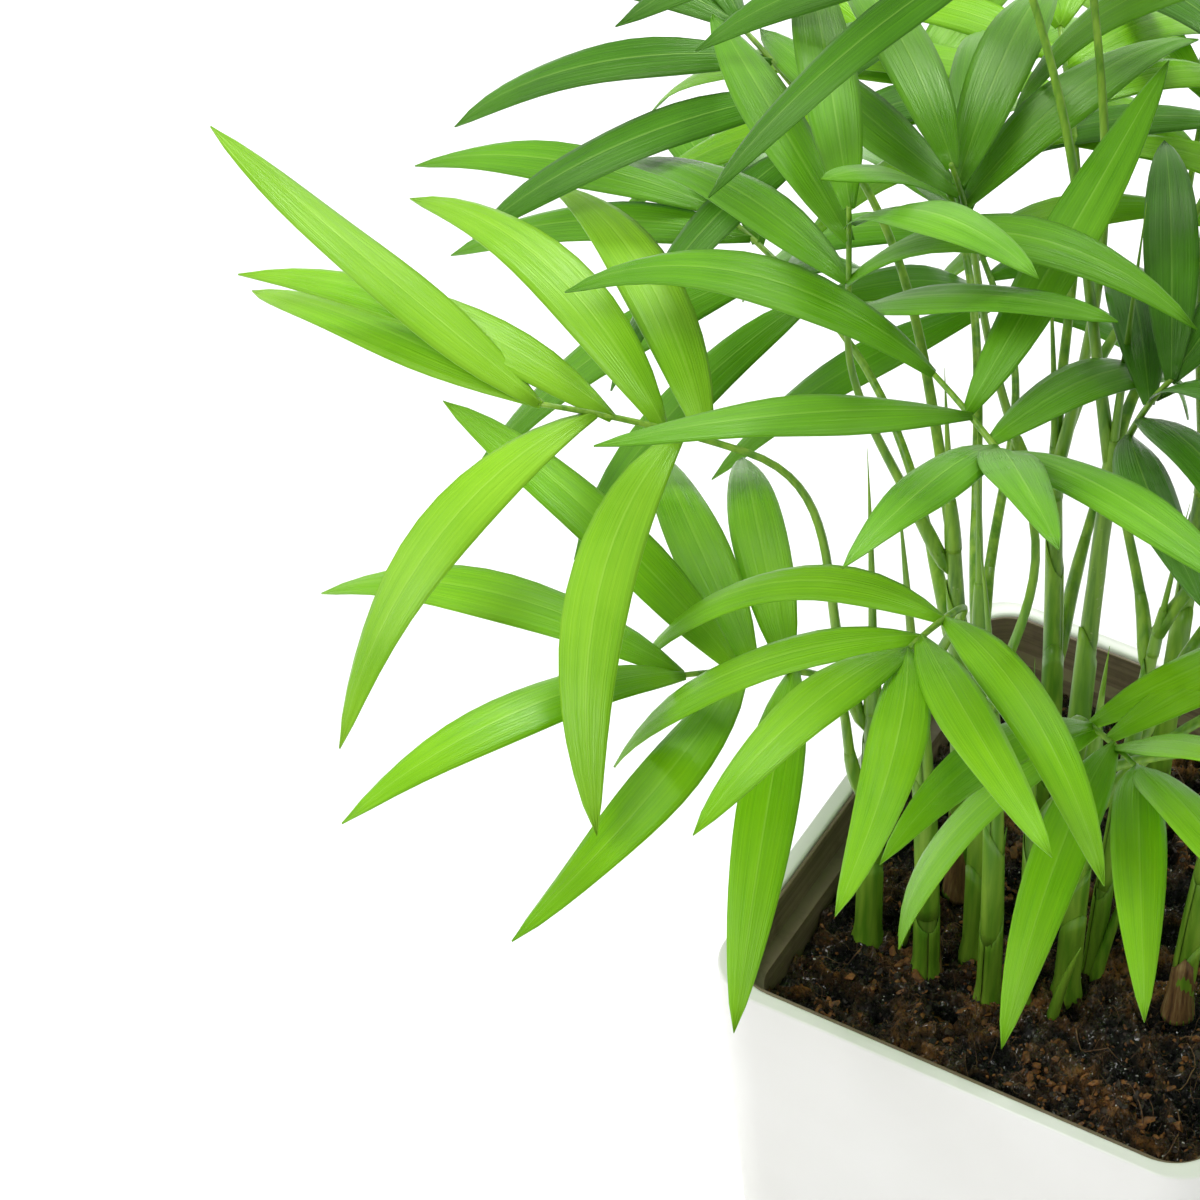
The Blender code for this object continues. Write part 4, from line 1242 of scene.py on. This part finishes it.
def insideSoil(x, y, margin=0.0):
    halfX, halfY, radius = soilHalf(pot["soil"])
    pastX = abs(x) - (halfX - margin - radius)
    pastY = abs(y) - (halfY - margin - radius)
    if pastX <= 0 or pastY <= 0:
        return abs(x) <= halfX - margin and abs(y) <= halfY - margin
    return math.hypot(pastX, pastY) <= radius


def addSoil():
    deselectAll()
    halfX, halfY, radius = soilHalf(pot["soil"])
    bpy.ops.mesh.primitive_grid_add(
        x_subdivisions=bed["columns"], y_subdivisions=bed["rows"], size=2, location=(0, 0, 0))
    item = bpy.context.object
    item.name = "soilBed"
    item.scale = (halfX, halfY, 1)
    bpy.ops.object.transform_apply(location=True, rotation=True, scale=True)
    bpy.ops.object.mode_set(mode="EDIT")
    bpy.ops.mesh.select_all(action="DESELECT")
    bpy.ops.mesh.select_mode(type="EDGE")
    bpy.ops.mesh.select_non_manifold(extend=False)
    bpy.ops.mesh.extrude_region_move(TRANSFORM_OT_translate={"value": (0, 0, -1)})
    bpy.ops.mesh.edge_face_add()
    bpy.ops.mesh.select_all(action="SELECT")
    bpy.ops.mesh.normals_make_consistent(inside=False)
    bpy.ops.object.mode_set(mode="OBJECT")
    for corner in item.data.vertices:
        x, y, z = corner.co
        pastX = abs(x) - (halfX - radius)
        pastY = abs(y) - (halfY - radius)
        if pastX > 0 and pastY > 0 and math.hypot(pastX, pastY) > radius:
            shrink = radius / math.hypot(pastX, pastY)
            x = math.copysign(halfX - radius + pastX * shrink, x)
            y = math.copysign(halfY - radius + pastY * shrink, y)
        if z > -0.5:
            corner.co = (x, y, soilHeight(x, y))
        else:
            corner.co = (x * 0.985, y * 0.985, pot["soil"] - bed["deep"])
    item.data.materials.append(soilFinish())
    item.select_set(True)
    bpy.ops.object.shade_smooth_by_angle(angle=math.radians(70))
    item.select_set(False)
    finishPiece(item, ["soil"])


crumbs = {"clumps": 26, "chips": 900, "grains": 4600, "fibres": 520, "roots": 30, "glints": 170}


def lump(chance, place, size, flatness):
    # a rough crumb of eight corners and two tips, none of them even
    turn = Euler((chance.uniform(-0.7, 0.7), chance.uniform(-0.7, 0.7), chance.uniform(0, 6.28)))
    long = chance.uniform(1.0, 2.2)
    corners = []
    for z, wide in ((-0.35, 0.9), (0.45, 0.8)):
        for step in range(5):
            angle = 2 * math.pi * (step + 0.5 * (z > 0)) / 5
            spot = Vector((wide * long * math.cos(angle), wide * math.sin(angle), z * flatness))
            corners.append(spot * size * 0.5 * chance.uniform(0.65, 1.2))
    corners += [Vector((0, 0, -0.5 * size * flatness)), Vector((0, 0, 0.55 * size * flatness))]
    for corner in corners:
        corner.rotate(turn)
    faces = []
    for step in range(5):
        after = (step + 1) % 5
        faces += [(10, after, step), (step, after, 5 + step)]
        faces += [(after, 5 + after, 5 + step), (5 + step, 5 + after, 11)]
    return [place + corner for corner in corners], faces


def soilSpot(chance, margin):
    halfX, halfY, _ = soilHalf(pot["soil"])
    while True:
        x, y = chance.uniform(-halfX, halfX), chance.uniform(-halfY, halfY)
        if insideSoil(x, y, margin):
            return x, y


def addThread(heap, chance, margin, long, radius, bend, lift):
    x, y = soilSpot(chance, margin)
    steps = 9
    shares = [step / steps for step in range(steps + 1)]
    points = arcPoints((x, y, 0), chance.uniform(0, 360), 0, long, 0, bend, shares, steps * 2)
    rise = chance.uniform(0, lift)
    laid = []
    for share, point in zip(shares, points):
        if insideSoil(point.x, point.y, 0.003):
            over = radius + rise * math.sin(math.pi * share)
            laid.append(Vector((point.x, point.y, soilHeight(point.x, point.y) + over)))
    if len(laid) > 3:
        radii = [radius * (1 - 0.6 * step / len(laid)) for step in range(len(laid))]
        heap.add(*tubeShape(laid, radii, Vector((0, 0, 1)), 0.0, 4))


def addLump(heap, chance, x, y, size, sunk, flatness):
    heap.add(*lump(chance, Vector((x, y, soilHeight(x, y) + sunk)), size, flatness))


def addCrumbs():
    chance = random.Random(5)
    chips, dark, fibres, glints = Heap(), Heap(), Heap(), Heap()
    clumps = [soilSpot(chance, 0.010) for _ in range(crumbs["clumps"])]
    for number in range(crumbs["chips"]):
        x, y = clumps[number % len(clumps)]
        x += chance.gauss(0, 0.007)
        y += chance.gauss(0, 0.007)
        if not insideSoil(x, y, 0.005):
            continue
        size = chance.uniform(0.0014, 0.0042)
        heap = chips if chance.random() < 0.6 else dark
        addLump(heap, chance, x, y, size, size * 0.1, chance.uniform(0.3, 0.7))
    for _ in range(crumbs["grains"]):
        x, y = soilSpot(chance, 0.003)
        size = chance.uniform(0.0007, 0.0019)
        heap = chips if chance.random() < 0.22 else dark
        addLump(heap, chance, x, y, size, size * 0.1, 0.8)
    for _ in range(crumbs["fibres"]):
        long, bend = chance.uniform(0.005, 0.016), chance.uniform(-160, 160)
        addThread(fibres, chance, 0.006, long, 0.00016, bend, 0.001)
    for _ in range(crumbs["roots"]):
        long, bend = chance.uniform(0.020, 0.045), chance.uniform(-120, 120)
        addThread(fibres, chance, 0.012, long, 0.00034, bend, 0.003)
    # painted highlights: small pale grains strewn on the soil stand in for the glints of the wet peat
    for _ in range(crumbs["glints"]):
        x, y = soilSpot(chance, 0.006)
        addLump(glints, chance, x, y, chance.uniform(0.0005, 0.0010), 0.0005, 0.9)
    looks = (
        (chips, "barkChips", "barkBrown", (0.030, 0.012, 0.004), (0.340, 0.135, 0.030), 30),
        (dark, "peatCrumbs", "peatDark", (0.004, 0.003, 0.002), (0.050, 0.028, 0.015), 30),
        (fibres, "rootFibres", "rootFibre", (0.050, 0.026, 0.012), (0.300, 0.170, 0.080), 180),
        # painted highlights: the pale grains that stand in for glints on the wet peat
        (glints, "paintedGlints", "paintedGlint", (0.55, 0.52, 0.47), (0.80, 0.78, 0.74), 30),
    )
    for heap, name, look, deep, pale, smooth in looks:
        heap.piece(name, barkFinish(look, deep, pale), "soil", (), smooth)


# Stage: floor, lights and camera

view = {"azimuth": 29.7, "tilt": 45.0, "lens": 150.0, "place": (0.48838, -1.24717, 1.6791)}


def addStage():
    deselectAll()
    bpy.ops.mesh.primitive_plane_add(size=9, location=(0, 0, -0.0004))
    floor = bpy.context.object
    floor.name = "floor"
    floor.data.materials.append(floorFinish())
    bpy.ops.object.transform_apply(location=True, rotation=True, scale=True)
    floor.select_set(False)
    world = bpy.data.worlds.new("studio")
    bpy.context.scene.world = world
    world.use_nodes = True
    world.node_tree.nodes["Background"].inputs["Color"].default_value = (1.0, 1.0, 1.0, 1.0)
    world.node_tree.nodes["Background"].inputs["Strength"].default_value = 0.44
    lamps = (
        ("keyLight", (-0.7, -1.6, 2.5), 1.1, 40),
        ("topLight", (-0.7, 2.0, 2.5), 1.0, 62),
        ("fillLight", (-2.1, -0.3, 1.3), 1.6, 10),
        ("backLight", (1.5, 1.2, 2.0), 1.0, 20),
    )
    for name, place, size, power in lamps:
        light = bpy.data.lights.new(name, "AREA")
        light.size = size
        light.energy = power
        lamp = bpy.data.objects.new(name, light)
        lamp.location = place
        lamp.rotation_euler = (Vector((0, 0, 0.35)) - Vector(place)).to_track_quat("-Z", "Y").to_euler()
        bpy.context.scene.collection.objects.link(lamp)


def addCamera():
    lens = bpy.data.cameras.new("camera")
    lens.lens = view["lens"]
    lens.sensor_width = 36
    lens.clip_end = 30
    camera = bpy.data.objects.new("camera", lens)
    camera.location = view["place"]
    camera.rotation_euler = (math.radians(90 - view["tilt"]), 0, math.radians(view["azimuth"]))
    bpy.context.scene.collection.objects.link(camera)
    bpy.context.scene.camera = camera
    bpy.context.scene.view_settings.view_transform = "Standard"


print("camera and stage")
addCamera()
addStage()
print("plan of the crown")
caneLines = {name: caneLine(name) for name in canes}
frondPlan = planCrown(caneLines)
print("fronds", len(frondPlan), "leaflets", sum(len(frond["leaflets"]) for frond in frondPlan))
print("planter, liner and soil")
addPlanter()
addLiner()
addSoil()
addCrumbs()
print("canes and sheaths")
addCanes(caneLines)
addSheaths(caneLines, frondPlan)
addShoots(caneLines)
print("fronds")
addStalks(frondPlan)
addFronds(frondPlan)
